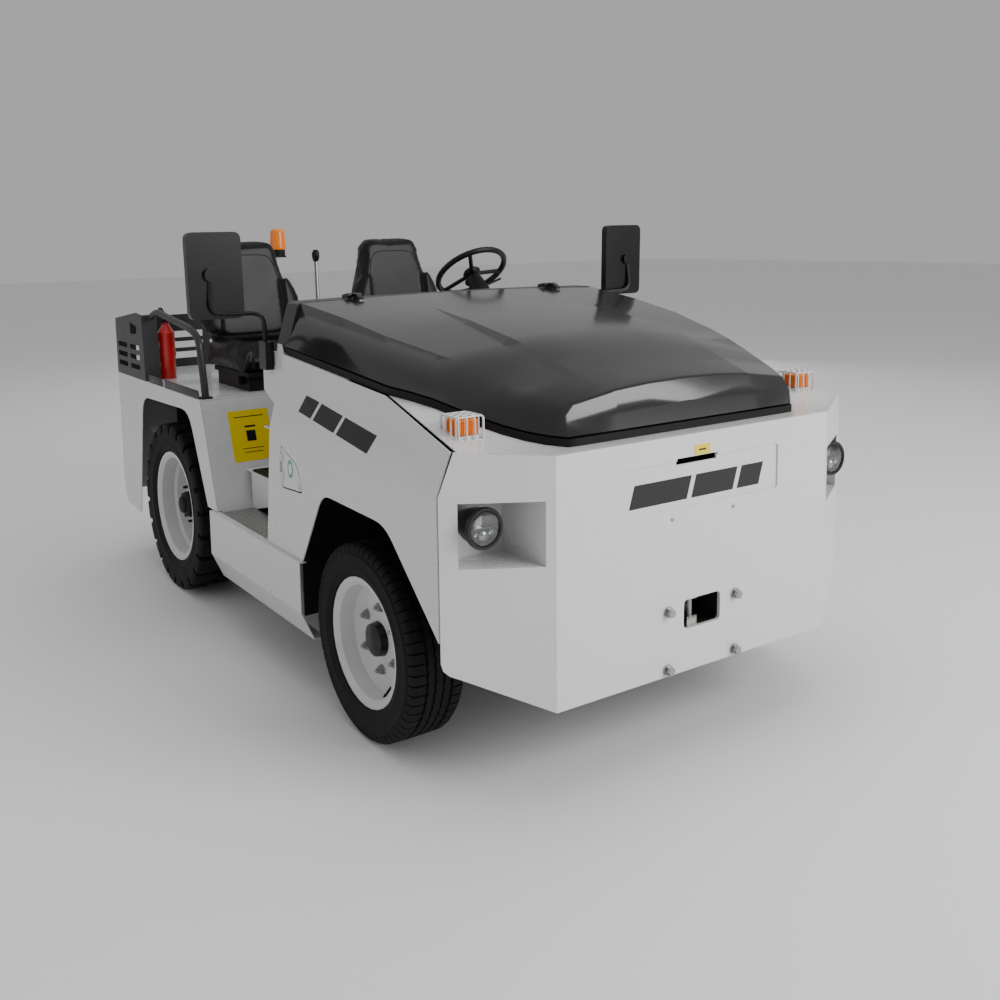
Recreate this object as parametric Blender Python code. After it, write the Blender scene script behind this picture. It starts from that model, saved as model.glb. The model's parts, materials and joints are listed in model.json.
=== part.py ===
"""Electric airport tow tractor: a two-seat baggage tug with a hinged hood and steered front wheels.

Metres, +Z up, ground at z = 0. The front faces -Y and the driver's right hand is at -X.
Stations are distances behind the front plate's face. place() turns a station into a world Y, so
that the middle of the overall length lies at the origin.
"""

import math

import bmesh
import bpy
from mathutils import Matrix, Vector

# Overall and body
HALF_WIDTH = 0.9026
FRONT_HALF_WIDTH = 0.605
WING_SWEEP = 0.172
FRONT_BOTTOM = 0.29
FRONT_TOP = 1.0715
WING_BOTTOM = 0.455
WING_TOP = 1.0886
WING_TOP_X = 0.8623
PLATE = 0.012
SHEET = 0.005
CREASE_FRONT_Z = 0.957
CREASE_REAR_Z = 0.989
COWL_STATION = 1.366
SEAL_SIDE_X = 0.819
SEAL_REAR_Z = 1.264
DECK_Z = 0.9975
DECK_FRONT = 2.133
RISER_FOOT = 1.972
REAR_FACE = 3.392
SILL_TOP = 0.523
SILL_OUT = 0.0165
FLOOR_Z = 0.685
FLOOR_HALF = 0.739
GAP = 0.0003
CLEAR = 0.005

# Wheels and steering
FRONT_AXLE = 0.704
FRONT_RADIUS = 0.341
REAR_AXLE = 2.631
REAR_RADIUS = 0.408
TYRE_FACE = 0.892
FRONT_TYRE_WIDTH = 0.215
REAR_TYRE_WIDTH = 0.272
FRONT_FLANGE = 0.2255
REAR_FLANGE = 0.268
KINGPIN_X = 0.64
STEER_ARM = 0.15
RIM_SEGMENTS = 32

# Chassis
RAIL_IN, RAIL_OUT = 0.30, 0.38
RAIL_LOW, RAIL_HIGH = 0.48, 0.595

# Hood
HOOD_FRONT = 0.07
HOOD_REAR = 1.398
HOOD_HINGE_STATION = 1.411
HOOD_HINGE_Z = 1.474
HOOD_HINGE_X = 0.507
HOOD_SKIN = 0.006
SEAL_HEIGHT = 0.024

# Cab
SEAT_X = 0.425
SEAT_WIDTH = 0.51
SEAT_FRONT = 2.18
WHEEL_CENTRE = (0.405, 1.897, 1.523)
WHEEL_TILT = math.radians(38.8)
WHEEL_RADIUS = 0.185
BEACON_STATION = 3.25
BEACON_TOP = 1.75
HITCH_REACH = 0.108
BOLT_HEAD = 0.022

OVERALL_FRONT = -BOLT_HEAD
OVERALL_REAR = REAR_FACE + HITCH_REACH
MIDDLE = (OVERALL_FRONT + OVERALL_REAR) / 2
SIDES = {"right": -1, "left": 1}

PAINTS = {
    "body_white": ((0.80, 0.80, 0.79), 0.32, 0.0),
    "hood_grey": ((0.045, 0.046, 0.048), 0.18, 0.0),
    "guard_grey": ((0.06, 0.06, 0.062), 0.42, 0.0),
    "chassis_black": ((0.02, 0.02, 0.02), 0.5, 0.0),
    "seal_rubber": ((0.012, 0.012, 0.012), 0.7, 0.0),
    "tyre_rubber": ((0.018, 0.018, 0.018), 0.85, 0.0),
    "seat_vinyl": ((0.018, 0.018, 0.019), 0.5, 0.0),
    "moulded_black": ((0.02, 0.02, 0.021), 0.45, 0.0),
    "cast_grey": ((0.25, 0.25, 0.25), 0.5, 1.0),
    "amber_lens": ((0.9, 0.22, 0.01), 0.15, 0.0),
    "red_paint": ((0.55, 0.01, 0.01), 0.3, 0.0),
    "lamp_glass": ((0.6, 0.62, 0.65), 0.08, 0.0),
}


def clear_scene():
    """Remove the scene's objects."""
    for item in list(bpy.data.objects):
        bpy.data.objects.remove(item, do_unlink=True)


def paint(slot):
    """The material of this slot, made once."""
    if slot in bpy.data.materials:
        return bpy.data.materials[slot]
    colour, roughness, metallic = PAINTS[slot]
    material = bpy.data.materials.new(slot)
    material.use_nodes = True
    shader = material.node_tree.nodes["Principled BSDF"]
    shader.inputs["Base Color"].default_value = (*colour, 1.0)
    shader.inputs["Roughness"].default_value = roughness
    shader.inputs["Metallic"].default_value = metallic
    return material


def place(x, station, z):
    """World point of an X, a station behind the front face, and a height."""
    return Vector((x, station - MIDDLE, z))


def solid(name, mesh_data, slot=None, smooth=False):
    """An object of this bmesh, with its normals out. Without a slot it is a hidden helper."""
    bmesh.ops.remove_doubles(mesh_data, verts=mesh_data.verts, dist=0.00001)
    bmesh.ops.recalc_face_normals(mesh_data, faces=mesh_data.faces)
    if mesh_data.calc_volume(signed=True) < 0:
        bmesh.ops.reverse_faces(mesh_data, faces=mesh_data.faces)
    data = bpy.data.meshes.new(name)
    mesh_data.to_mesh(data)
    mesh_data.free()
    item = bpy.data.objects.new(name, data)
    bpy.context.scene.collection.objects.link(item)
    if smooth:
        data.shade_smooth()
        data.set_sharp_from_angle(angle=math.radians(35))
    if slot:
        data.materials.append(paint(slot))
    else:
        item.hide_render = True
        item.display_type = "WIRE"
    return item


def box(low, high):
    """Bmesh of a box between two corners given as x, station, z."""
    made = bmesh.new()
    bmesh.ops.create_cube(made, size=1.0)
    low, high = place(*low), place(*high)
    size = high - low
    bmesh.ops.scale(made, vec=size, verts=made.verts)
    bmesh.ops.translate(made, vec=(low + high) / 2, verts=made.verts)
    return made


def prism(outline, axis, start, end):
    """Bmesh of an outline pushed along an axis. axis x takes (station, z), y takes (x, z), z takes (x, station)."""
    made = bmesh.new()
    rings = []
    for level in (start, end):
        ring = []
        for a, b in outline:
            if axis == "x":
                point = place(level, a, b)
            elif axis == "y":
                point = place(a, level, b)
            else:
                point = place(a, b, level)
            ring.append(made.verts.new(point))
        rings.append(ring)
    made.faces.new(rings[0])
    made.faces.new(rings[1])
    for i, corner in enumerate(rings[0]):
        j = (i + 1) % len(rings[0])
        made.faces.new((corner, rings[0][j], rings[1][j], rings[1][i]))
    return made


def turned(profile, origin, direction, segments=24):
    """Bmesh of a profile of (along, radius) turned round a line from origin. Ends of radius 0 are poles."""
    made = bmesh.new()
    rings = []
    spot, line = place(*origin), Vector(direction).normalized()
    frame = line.to_track_quat("Z", "Y").to_matrix()
    for along, radius in profile:
        if radius < 1e-6:
            rings.append([made.verts.new(spot + line * along)])
            continue
        ring = []
        for k in range(segments):
            angle = 2 * math.pi * k / segments
            arm = frame @ Vector((math.cos(angle), math.sin(angle), 0))
            ring.append(made.verts.new(spot + line * along + arm * radius))
        rings.append(ring)
    closed = len(rings[0]) > 1
    pairs = list(zip(rings, rings[1:] + rings[:1] if closed else rings[1:]))
    for first, second in pairs:
        for k in range(segments):
            j = (k + 1) % segments
            corners = [first[k % len(first)], first[j % len(first)]]
            corners += [second[j % len(second)], second[k % len(second)]]
            made.faces.new(dict.fromkeys(corners))
    return made


def rod(start, end, radius, segments=16):
    """Bmesh of a cylinder between two points given as x, station, z."""
    length = (place(*end) - place(*start)).length
    profile = [(0, 0), (0, radius), (length, radius), (length, 0)]
    return turned(profile, start, place(*end) - place(*start), segments)


def rounded(points, radius, steps=4):
    """A route with each inner corner replaced by an arc."""
    route = [Vector(points[0])]
    for before, corner, after in zip(points, points[1:], points[2:]):
        before, corner, after = Vector(before), Vector(corner), Vector(after)
        a, b = (before - corner), (after - corner)
        reach = min(radius, a.length * 0.45, b.length * 0.45)
        first, last = corner + a.normalized() * reach, corner + b.normalized() * reach
        for k in range(steps + 1):
            t = k / steps
            route.append(first * (1 - t) ** 2 + corner * 2 * t * (1 - t) + last * t**2)
    route.append(Vector(points[-1]))
    return route


def tube(points, radius, bend=0.06, segments=10):
    """Bmesh of a round bar along a route of (x, station, z) with rounded corners."""
    route = [place(*p) for p in rounded(points, bend)]
    made = bmesh.new()
    rings = []
    side = None
    for k, spot in enumerate(route):
        before, after = route[max(k - 1, 0)], route[min(k + 1, len(route) - 1)]
        line = (after - before).normalized()
        if side is None:
            side = line.orthogonal().normalized()
        side = (side - line * side.dot(line)).normalized()
        other = line.cross(side)
        ring = []
        for n in range(segments):
            angle = 2 * math.pi * n / segments
            ring.append(made.verts.new(spot + (side * math.cos(angle) + other * math.sin(angle)) * radius))
        rings.append(ring)
    for first, second in zip(rings, rings[1:]):
        for n in range(segments):
            j = (n + 1) % segments
            made.faces.new((first[n], first[j], second[j], second[n]))
    made.faces.new(rings[0])
    made.faces.new(rings[-1])
    return made


def arc_corner(before, corner, after, radius, steps=4):
    """Points that round one corner of a flat outline."""
    corner = Vector(corner)
    a, b = (Vector(before) - corner).normalized(), (Vector(after) - corner).normalized()
    first, last = corner + a * radius, corner + b * radius
    points = []
    for k in range(steps + 1):
        t = k / steps
        points.append(tuple(first * (1 - t) ** 2 + corner * 2 * t * (1 - t) + last * t**2))
    return points


def outline_with_corners(points):
    """A flat outline. A point with a third number has its corner rounded by that radius."""
    flat = [p[:2] for p in points]
    made = []
    for k, point in enumerate(points):
        if len(point) == 2:
            made.append(point)
        else:
            made += arc_corner(flat[k - 1], flat[k], flat[(k + 1) % len(flat)], point[2])
    return made


def bent_sheet(faces, thickness, outward):
    """Bmesh of flat faces, each a list of (x, station, z), joined at shared edges and thickened behind.

    outward is the direction that the sheet's outer side mostly looks to.
    """
    made = bmesh.new()
    known = {}
    for face in faces:
        corners = []
        for point in face:
            key = tuple(round(v, 5) for v in point)
            if key not in known:
                known[key] = made.verts.new(place(*point))
            corners.append(known[key])
        made.faces.new(corners)
    bmesh.ops.recalc_face_normals(made, faces=made.faces)
    if sum(face.normal.dot(Vector(outward)) * face.calc_area() for face in made.faces) < 0:
        bmesh.ops.reverse_faces(made, faces=made.faces)
    made.normal_update()
    shifts = {}
    for vertex in made.verts:
        normals = [face.normal for face in vertex.link_faces]
        mean = sum(normals, Vector()).normalized()
        reach = max(min(mean.dot(n) for n in normals), 0.5)
        shifts[vertex] = vertex.co - mean * thickness / reach
    edges = [edge for edge in made.edges if len(edge.link_faces) == 1]
    walls = []
    for edge in edges:
        loop = edge.link_loops[0]
        walls.append((loop.vert, loop.link_loop_next.vert))
    backs = {vertex: made.verts.new(spot) for vertex, spot in shifts.items()}
    for face in list(made.faces):
        made.faces.new([backs[v] for v in reversed(face.verts[:])])
    for first, second in walls:
        made.faces.new((second, first, backs[first], backs[second]))
    return made


def assemble(name, slot, base, joins=(), cuts=(), adds=(), smooth=False, pivot=None):
    """A node made of a base bmesh: joins are united with it, cuts taken out, then adds united.

    pivot is the point, as x, station, z, that the object's origin moves to.
    """
    item = solid(name, base, slot, smooth)
    if pivot:
        spot = place(*pivot)
        item.data.transform(Matrix.Translation(-spot))
        item.location = spot
    for kind, shapes, label in (("UNION", joins, "join"), ("DIFFERENCE", cuts, "cut"), ("UNION", adds, "add")):
        for k, shape in enumerate(shapes):
            step = item.modifiers.new(f"{label}_{k}", "BOOLEAN")
            step.operation = kind
            step.solver = "EXACT"
            step.object = solid(f"{name}_{label}_{k}", shape)
    return item


def wing_station(x):
    """Station of the front plate's outer face at this distance from the middle."""
    beyond = max(abs(x) - FRONT_HALF_WIDTH, 0)
    return WING_SWEEP * beyond / (HALF_WIDTH - FRONT_HALF_WIDTH)


def seal_height(station):
    """Height of the ledge under the hood's seal at this place."""
    along = min(max((station - HOOD_FRONT) / (COWL_STATION - HOOD_FRONT), 0), 1)
    ramp = min(along / 0.36, 1)
    ease = ramp * ramp * (3 - 2 * ramp)
    low, middle = FRONT_TOP + 0.001, 1.187
    if ramp < 1:
        return low + (middle - low) * ease
    return middle + (SEAL_REAR_Z - middle) * (along - 0.36) / 0.64


def seal_outline(inset=0.0, count=9):
    """Half of the seal's outline in plan, from the front's middle round to the rear, as (x, station)."""
    points = [(0.0, HOOD_FRONT), (0.25, HOOD_FRONT), (0.46, HOOD_FRONT)]
    first, second = Vector((0.50, HOOD_FRONT + 0.003)), Vector((0.60, 0.20))
    third, last = Vector((0.755, 0.33)), Vector((0.80, 0.62))
    for k in range(count):
        t = k / (count - 1)
        spot = first * (1 - t) ** 3 + second * 3 * t * (1 - t) ** 2 + third * 3 * t**2 * (1 - t) + last * t**3
        points.append(tuple(spot))
    points += [(0.806, 0.88), (0.812, 1.12), (SEAL_SIDE_X - 0.002, COWL_STATION - 0.003)]
    shifted = []
    for k, (x, station) in enumerate(points):
        before, after = points[max(k - 1, 0)], points[min(k + 1, len(points) - 1)]
        line = Vector((after[0] - before[0], after[1] - before[1])).normalized()
        shifted.append((max(x - line.y * inset, 0.0) if k else 0.0, station + line.x * inset))
    return shifted


def seal_route(inset, lift):
    """The seal's whole outline from the rear right round to the rear left as (x, station, z)."""
    outer, moved = seal_outline(), seal_outline(inset)
    half = [(x, s, seal_height(o[1]) + lift) for (x, s), o in zip(moved, outer)]
    return [(-x, s, z) for x, s, z in reversed(half)] + half[1:]


# Headlight pocket in the wing: x, z and back wall
POCKET_X = (0.631, 0.854)
POCKET_Z = (0.742, 0.938)
POCKET_BACK = 0.235
POCKET_WALL = 0.004
LAMP_X, LAMP_Z, LAMP_RADIUS = 0.785, 0.862, 0.064
BOLT_X, BOLT_HIGH, BOLT_LOW = 0.153, 0.506, 0.313
JAW_X, JAW_LOW, JAW_HIGH = 0.083, 0.432, 0.530


def front_plate():
    """The thick plate across the front, with swept wings, headlight pockets, recess and slots."""
    top_station = wing_station(WING_TOP_X)
    faces = []
    middle = [(-FRONT_HALF_WIDTH, 0, FRONT_BOTTOM), (FRONT_HALF_WIDTH, 0, FRONT_BOTTOM),
              (FRONT_HALF_WIDTH, 0, FRONT_TOP), (-FRONT_HALF_WIDTH, 0, FRONT_TOP)]
    faces.append(middle)
    low_edge = [(HALF_WIDTH, WING_BOTTOM), (HALF_WIDTH - 0.006, WING_BOTTOM - 0.022),
                (HALF_WIDTH - 0.022, WING_BOTTOM - 0.038), (HALF_WIDTH - 0.05, WING_BOTTOM - 0.050)]
    for sign in (-1, 1):
        wing = [(FRONT_HALF_WIDTH, 0, FRONT_TOP), (FRONT_HALF_WIDTH, 0, FRONT_BOTTOM)]
        wing += [(x, wing_station(x), z) for x, z in reversed(low_edge)]
        wing += [(HALF_WIDTH, WING_SWEEP, CREASE_FRONT_Z), (WING_TOP_X, top_station, WING_TOP)]
        faces.append([(sign * x, s, z) for x, s, z in wing])
    base = bent_sheet(faces, PLATE, (0, -1, 0))
    joins, cuts = [], []
    for sign in (-1, 1):
        shell_x = (POCKET_X[0] - POCKET_WALL, POCKET_X[1] + POCKET_WALL)
        shell = [(sign * shell_x[0], wing_station(shell_x[0]) + 0.004),
                 (sign * shell_x[1], wing_station(shell_x[1]) + 0.004),
                 (sign * shell_x[1], POCKET_BACK + POCKET_WALL), (sign * shell_x[0], POCKET_BACK + POCKET_WALL)]
        joins.append(prism(shell, "z", POCKET_Z[0] - POCKET_WALL, POCKET_Z[1] + POCKET_WALL))
        room = [(sign * POCKET_X[0], -0.03), (sign * POCKET_X[1], -0.03),
                (sign * POCKET_X[1], POCKET_BACK), (sign * POCKET_X[0], POCKET_BACK)]
        cuts.append(prism(room, "z", *POCKET_Z))
    jaw = outline_with_corners([(-JAW_X, JAW_LOW, 0.018), (JAW_X, JAW_LOW, 0.018),
                                (JAW_X, JAW_HIGH, 0.018), (-JAW_X, JAW_HIGH, 0.018)])
    cuts.append(prism(jaw, "y", -0.02, 0.04))
    recess = outline_with_corners([(-0.352, 0.838, 0.012), (0.352, 0.838, 0.012),
                                   (0.352, 0.990, 0.012), (-0.352, 0.990, 0.012)])
    cuts.append(prism(recess, "y", -0.01, 0.005))
    cuts.append(box((-0.12, -0.02, 0.977), (0.06, 0.04, 0.998)))
    for x in (-BOLT_X, BOLT_X):
        for z in (BOLT_HIGH, BOLT_LOW):
            cuts.append(rod((x, -0.02, z), (x, 0.03, z), 0.0103, 12))
    return assemble("front_plate", "body_white", base, joins, cuts)


def ledge_faces(lift):
    """Faces of the ledge behind the front plate's top edge, raised by this much."""
    behind = PLATE + GAP
    corner_in = FRONT_HALF_WIDTH - 0.004
    tip_x = WING_TOP_X - 0.016
    tip = (tip_x, wing_station(tip_x) + behind * 1.16, WING_TOP)
    made_faces = []
    inner = seal_route(0.0, -0.0005)
    deep = seal_route(0.045, -0.0005)
    last = next(k for k, p in enumerate(inner) if p[0] > 0.79)
    first = len(inner) - 1 - last
    edge = inner[first:last + 1]
    back = deep[first:last + 1]
    for k in range(len(edge) - 1):
        made_faces.append([edge[k + 1], edge[k], back[k], back[k + 1]])
    crease = [(-corner_in, behind, FRONT_TOP), (corner_in, behind, FRONT_TOP)]
    middle = len(edge) // 2
    corner_r = next(k for k, p in enumerate(edge) if p[0] > -0.52)
    corner_l = len(edge) - 1 - corner_r
    right = [(-tip[0], tip[1], tip[2])]
    for k in range(corner_r):
        made_faces.append([right[0], edge[k], edge[k + 1]])
    made_faces.append([right[0], edge[corner_r], crease[0]])
    for k in range(corner_r, middle):
        made_faces.append([crease[0], edge[k], edge[k + 1]])
    made_faces.append([crease[0], edge[middle], crease[1]])
    for k in range(middle, corner_l):
        made_faces.append([crease[1], edge[k], edge[k + 1]])
    made_faces.append([crease[1], edge[corner_l], tip])
    for k in range(corner_l, len(edge) - 1):
        made_faces.append([tip, edge[k], edge[k + 1]])
    return [[(x, s, z + lift) for x, s, z in face] for face in made_faces]


def front_ledge():
    """The sheet behind the front plate's top edge that carries the hood seal and the corner lamps."""
    return assemble("front_ledge", "body_white", bent_sheet(ledge_faces(0), SHEET, (0, 0, 1)))


ARCH_FRONT = [(0.190, 0.515), (0.490, 0.805, 0.06), (0.930, 0.815, 0.06), (1.112, SILL_TOP + GAP)]
ARCH_REAR = [(2.088, SILL_TOP + GAP), (2.287, 0.930, 0.09), (2.975, 0.912, 0.09), (3.112, 0.27, 0.02)]
FLAP_REAR, FLAP_FRONT_HIGH, FLAP_FRONT_LOW = 1.263, 1.128, 1.094
FLAP_LOW, FLAP_HIGH, FLAP_HIGH_FRONT = 0.778, 0.932, 0.878
FLAP_AXIS_X = HALF_WIDTH + 0.0045
FLAP_AXIS_STATION = FLAP_REAR + 0.0025
KNUCKLE_RADIUS = 0.004


def flap_outline(grow):
    """The charging flap's outline as (station, z), grown by this much all round."""
    return outline_with_corners([
        (FLAP_REAR + grow, FLAP_LOW - grow, 0.012),
        (FLAP_REAR + grow, FLAP_HIGH + grow, 0.012),
        (FLAP_FRONT_HIGH - grow, FLAP_HIGH_FRONT + grow * 0.6, 0.03),
        (FLAP_FRONT_LOW - grow, FLAP_LOW + 0.01 - grow, 0.02),
    ])


def front_side(name, sign):
    """A front side panel: upright sheet with the wheel arch, and the inclined sheet up to the seal."""
    start = WING_SWEEP + SHEET * (HALF_WIDTH - FRONT_HALF_WIDTH) / WING_SWEEP + 0.0012
    arch = outline_with_corners([(start, CREASE_FRONT_Z)] + [(start, 0.515)] + ARCH_FRONT[1:]
                                + [(1.427, SILL_TOP + GAP), (COWL_STATION, CREASE_REAR_Z)])
    upright = [(sign * HALF_WIDTH, s, z) for s, z in arch]
    tip_station = wing_station(WING_TOP_X) + PLATE + 0.004
    route = [p for p in seal_route(-0.014, -0.001) if p[0] > 0.792]
    upper = [(p[0], p[1], p[2]) for p in route]
    crease_front = (sign * HALF_WIDTH, start, CREASE_FRONT_Z)
    crease_rear = (sign * HALF_WIDTH, COWL_STATION, CREASE_REAR_Z)
    tip = (sign * WING_TOP_X, tip_station, WING_TOP)
    seal_edge = [(sign * x, s, z) for x, s, z in upper]
    faces = [upright, [crease_front, tip, seal_edge[0]]]
    faces.append([crease_front, seal_edge[0], seal_edge[1], crease_rear])
    for first, second in zip(seal_edge[1:], seal_edge[2:]):
        faces.append([crease_rear, first, second])
    inner = [(sign * (x - 0.05), s, z) for x, s, z in upper]
    for k in range(1, len(upper) - 1):
        faces.append([seal_edge[k], seal_edge[k + 1], inner[k + 1], inner[k]])
    base = bent_sheet(faces, SHEET, (sign, 0, 0.4))
    joins, cuts = [], []
    if sign < 0:
        cuts.append(prism(flap_outline(CLEAR), "x", sign * (HALF_WIDTH - 0.02), sign * (HALF_WIDTH + 0.02)))
        middle = (FLAP_LOW + FLAP_HIGH) / 2
        axis = (sign * FLAP_AXIS_X, FLAP_AXIS_STATION)
        joins.append(rod((*axis, middle - 0.02), (*axis, middle + 0.02), KNUCKLE_RADIUS, 12))
        joins.append(box((sign * (FLAP_AXIS_X + 0.001), FLAP_AXIS_STATION, middle - 0.02),
                         (sign * (HALF_WIDTH - 0.001), FLAP_AXIS_STATION + 0.014, middle + 0.02)))
    return assemble(name, "body_white", base, joins, cuts)


def charge_flap():
    """The trapezoid charging flap in the right side panel, on a hinge at its rear edge."""
    sign = -1
    plate = prism(flap_outline(0), "x", sign * (HALF_WIDTH - SHEET), sign * HALF_WIDTH)
    middle = (FLAP_LOW + FLAP_HIGH) / 2
    axis = (sign * FLAP_AXIS_X, FLAP_AXIS_STATION)
    joins = []
    for low, high in ((middle + 0.0205, middle + 0.05), (middle - 0.05, middle - 0.0205)):
        joins.append(rod((*axis, low), (*axis, high), KNUCKLE_RADIUS, 12))
        joins.append(box((sign * (FLAP_AXIS_X + 0.001), FLAP_AXIS_STATION - 0.016, low),
                         (sign * (HALF_WIDTH - 0.001), FLAP_AXIS_STATION, high)))
    return assemble("charge_flap", "body_white", plate, joins, pivot=(*axis, middle))


def charge_socket():
    """The box behind the charging flap, open outwards, with the inlet on its back wall."""
    outer = box((-(HALF_WIDTH - SHEET - GAP), 1.082, FLAP_LOW - 0.03), (-0.80, 1.280, FLAP_HIGH + 0.03))
    room = box((-(HALF_WIDTH + 0.02), 1.087, FLAP_LOW - 0.025), (-0.805, 1.275, FLAP_HIGH + 0.025))
    inlet = rod((-0.803, 1.19, 0.85), (-0.845, 1.19, 0.85), 0.038, 20)
    return assemble("charge_socket", "moulded_black", outer, [], [room], [inlet])


HOUSING_IN, HOUSING_ROOF, HOUSING_BACK = 0.43, 0.862, 1.150


def wheel_housing(name, sign):
    """The sheet box round a front wheel: roof, sloping back and inner wall."""
    roof = [(0.250, HOUSING_ROOF), (0.965, HOUSING_ROOF), (HOUSING_BACK, 0.575), (HOUSING_BACK, 0.30)]
    outside = roof + [(s + 0.004, z + (0.004 if k < 3 else 0)) for k, (s, z) in reversed(list(enumerate(roof)))]
    strip = prism(outside, "x", sign * HOUSING_IN, sign * (HALF_WIDTH - SHEET - 0.0006))
    wall = [(0.06, 0.606), (0.06, HOUSING_ROOF + 0.004), (0.97, HOUSING_ROOF + 0.004),
            (HOUSING_BACK + 0.004, 0.58), (HOUSING_BACK + 0.004, 0.47), (0.06, 0.47)]
    side = prism(wall[1:], "x", sign * HOUSING_IN, sign * (HOUSING_IN + 0.004))
    lip = box((sign * (HALF_WIDTH - 0.020), 1.0, 0.20), (sign * (HALF_WIDTH + 0.02), 1.3, SILL_TOP + 0.001))
    return assemble(name, "chassis_black", strip, [side], [lip])


def chassis_frame():
    """Two rails with cross members and outriggers that carry everything else."""
    front, rear = PLATE + GAP, REAR_FACE - PLATE - GAP
    base = box((-RAIL_OUT, front, RAIL_LOW), (-RAIL_IN, rear, RAIL_HIGH))
    joins = [box((RAIL_IN, front, RAIL_LOW), (RAIL_OUT, rear, RAIL_HIGH))]
    for start, end in ((front + 0.21, 0.27), (1.17, 1.25), (2.02, 2.10), (3.20, rear)):
        joins.append(box((-RAIL_IN - 0.02, start, RAIL_LOW + 0.01), (RAIL_IN + 0.02, end, RAIL_HIGH - 0.01)))
    for start, end in ((1.30, 1.36), (1.86, 1.92)):
        reach = HALF_WIDTH + SILL_OUT - SHEET - GAP
        joins.append(box((-reach, start, 0.455), (reach, end, SILL_TOP - SHEET - 0.007)))
    return assemble("chassis_frame", "chassis_black", base, joins)


def sill(name, sign):
    """A side sill: an upright sheet with a lip on top and an inward slant below."""
    out = HALF_WIDTH + SILL_OUT
    line = [(out - 0.030, SILL_TOP), (out, SILL_TOP), (out, 0.329), (out - 0.052, 0.216), (out - 0.10, 0.216)]
    faces = []
    for (x1, z1), (x2, z2) in zip(line, line[1:]):
        faces.append([(sign * x1, 1.106, z1), (sign * x1, 2.026, z1), (sign * x2, 2.026, z2),
                      (sign * x2, 1.106, z2)])
    return assemble(name, "body_white", bent_sheet(faces, SHEET, (sign, 0, 0)))


def riser_station(z):
    """Station of the seat riser's face at this height."""
    return RISER_FOOT + (z - SILL_TOP) * (DECK_FRONT - RISER_FOOT) / (DECK_Z - SILL_TOP)


def floor_plate():
    """The cab floor, its two side walls down to the steps, and the steps inside the sills."""
    start, low = 1.302, RAIL_HIGH + 0.001
    end = riser_station(FLOOR_Z) - 0.004
    base = box((-FLOOR_HALF, start, FLOOR_Z - 0.006), (FLOOR_HALF, end, FLOOR_Z))
    joins = []
    for sign in (-1, 1):
        joins.append(box((sign * FLOOR_HALF, start, SILL_TOP - SHEET - 0.0067),
                         (sign * (FLOOR_HALF - 0.006), riser_station(SILL_TOP) - 0.004, FLOOR_Z - 0.001)))
        joins.append(box((sign * 0.375, start, low), (sign * 0.365, end - 0.03, FLOOR_Z - 0.001)))
        edge = HALF_WIDTH + SILL_OUT - 0.030 - GAP
        joins.append(box((sign * (FLOOR_HALF - 0.003), 1.34, SILL_TOP - SHEET - 0.0065),
                         (sign * edge, 1.955, SILL_TOP - GAP)))
    return assemble("floor_plate", "body_white", base, joins)


def seat_riser():
    """The leaning sheet between the cab floor and the rear deck."""
    low, high = SILL_TOP - SHEET - 0.006, DECK_Z - 0.006 - GAP
    face = [(riser_station(low), low), (riser_station(high), high),
            (riser_station(high) + SHEET, high), (riser_station(low) + SHEET, low)]
    edge = HALF_WIDTH - SHEET - GAP
    notch = box((-RAIL_OUT - 0.02, RISER_FOOT - 0.1, 0.40), (RAIL_OUT + 0.02, DECK_FRONT, RAIL_HIGH + 0.002))
    cuts = [notch]
    for sign in (-1, 1):
        cuts.append(box((sign * (HALF_WIDTH - 0.020), RISER_FOOT - 0.1, 0.40),
                        (sign * (HALF_WIDTH + 0.02), DECK_FRONT, SILL_TOP + 0.001)))
    return assemble("seat_riser", "body_white", prism(face, "x", -edge, edge), [], cuts)


def rear_side(name, sign):
    """A rear side panel with its wheel arch."""
    outline = [(riser_station(DECK_Z) + 0.001, DECK_Z), (riser_station(SILL_TOP), SILL_TOP + GAP)]
    outline += ARCH_REAR + [(3.365, 0.290, 0.05), (REAR_FACE - PLATE - GAP, 0.36),
                            (REAR_FACE - PLATE - GAP, DECK_Z)]
    shape = outline_with_corners(outline)
    return assemble(name, "body_white", prism(shape, "x", sign * (HALF_WIDTH - SHEET), sign * HALF_WIDTH))


def rear_deck():
    """The deck plate that carries the seats and the rear tray."""
    edge = HALF_WIDTH - SHEET - GAP
    plate = box((-edge, riser_station(DECK_Z), DECK_Z - 0.006), (edge, REAR_FACE - PLATE - GAP, DECK_Z))
    return assemble("rear_deck", "body_white", plate)


COMPARTMENT_HALF, COMPARTMENT_FRONT, COMPARTMENT_REAR = 0.60, 2.165, 3.36


def rear_compartment():
    """The sheet box under the rear deck, between the rear wheels, open below."""
    top = DECK_Z - 0.006 - GAP
    outer = box((-COMPARTMENT_HALF, COMPARTMENT_FRONT, RAIL_HIGH + GAP),
                (COMPARTMENT_HALF, COMPARTMENT_REAR, top))
    room = box((-COMPARTMENT_HALF + SHEET, COMPARTMENT_FRONT + SHEET, RAIL_HIGH - 0.05),
               (COMPARTMENT_HALF - SHEET, COMPARTMENT_REAR - SHEET, top - SHEET))
    return assemble("rear_compartment", "chassis_black", outer, [], [room])


def rear_plate():
    """The thick plate across the rear, with the holes of the towing hitch."""
    outline = outline_with_corners([(-HALF_WIDTH, 0.345, 0.05), (HALF_WIDTH, 0.345, 0.05),
                                    (HALF_WIDTH, DECK_Z), (-HALF_WIDTH, DECK_Z)])
    return assemble("rear_plate", "body_white", prism(outline, "y", REAR_FACE - PLATE, REAR_FACE))


GUARD_FRONT_LOW, GUARD_FRONT_HIGH = 2.905, 2.925
GUARD_REAR_TOP, GUARD_FRONT_TOP = 1.290, 1.338
GUARD_RETURN = 0.075


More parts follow.
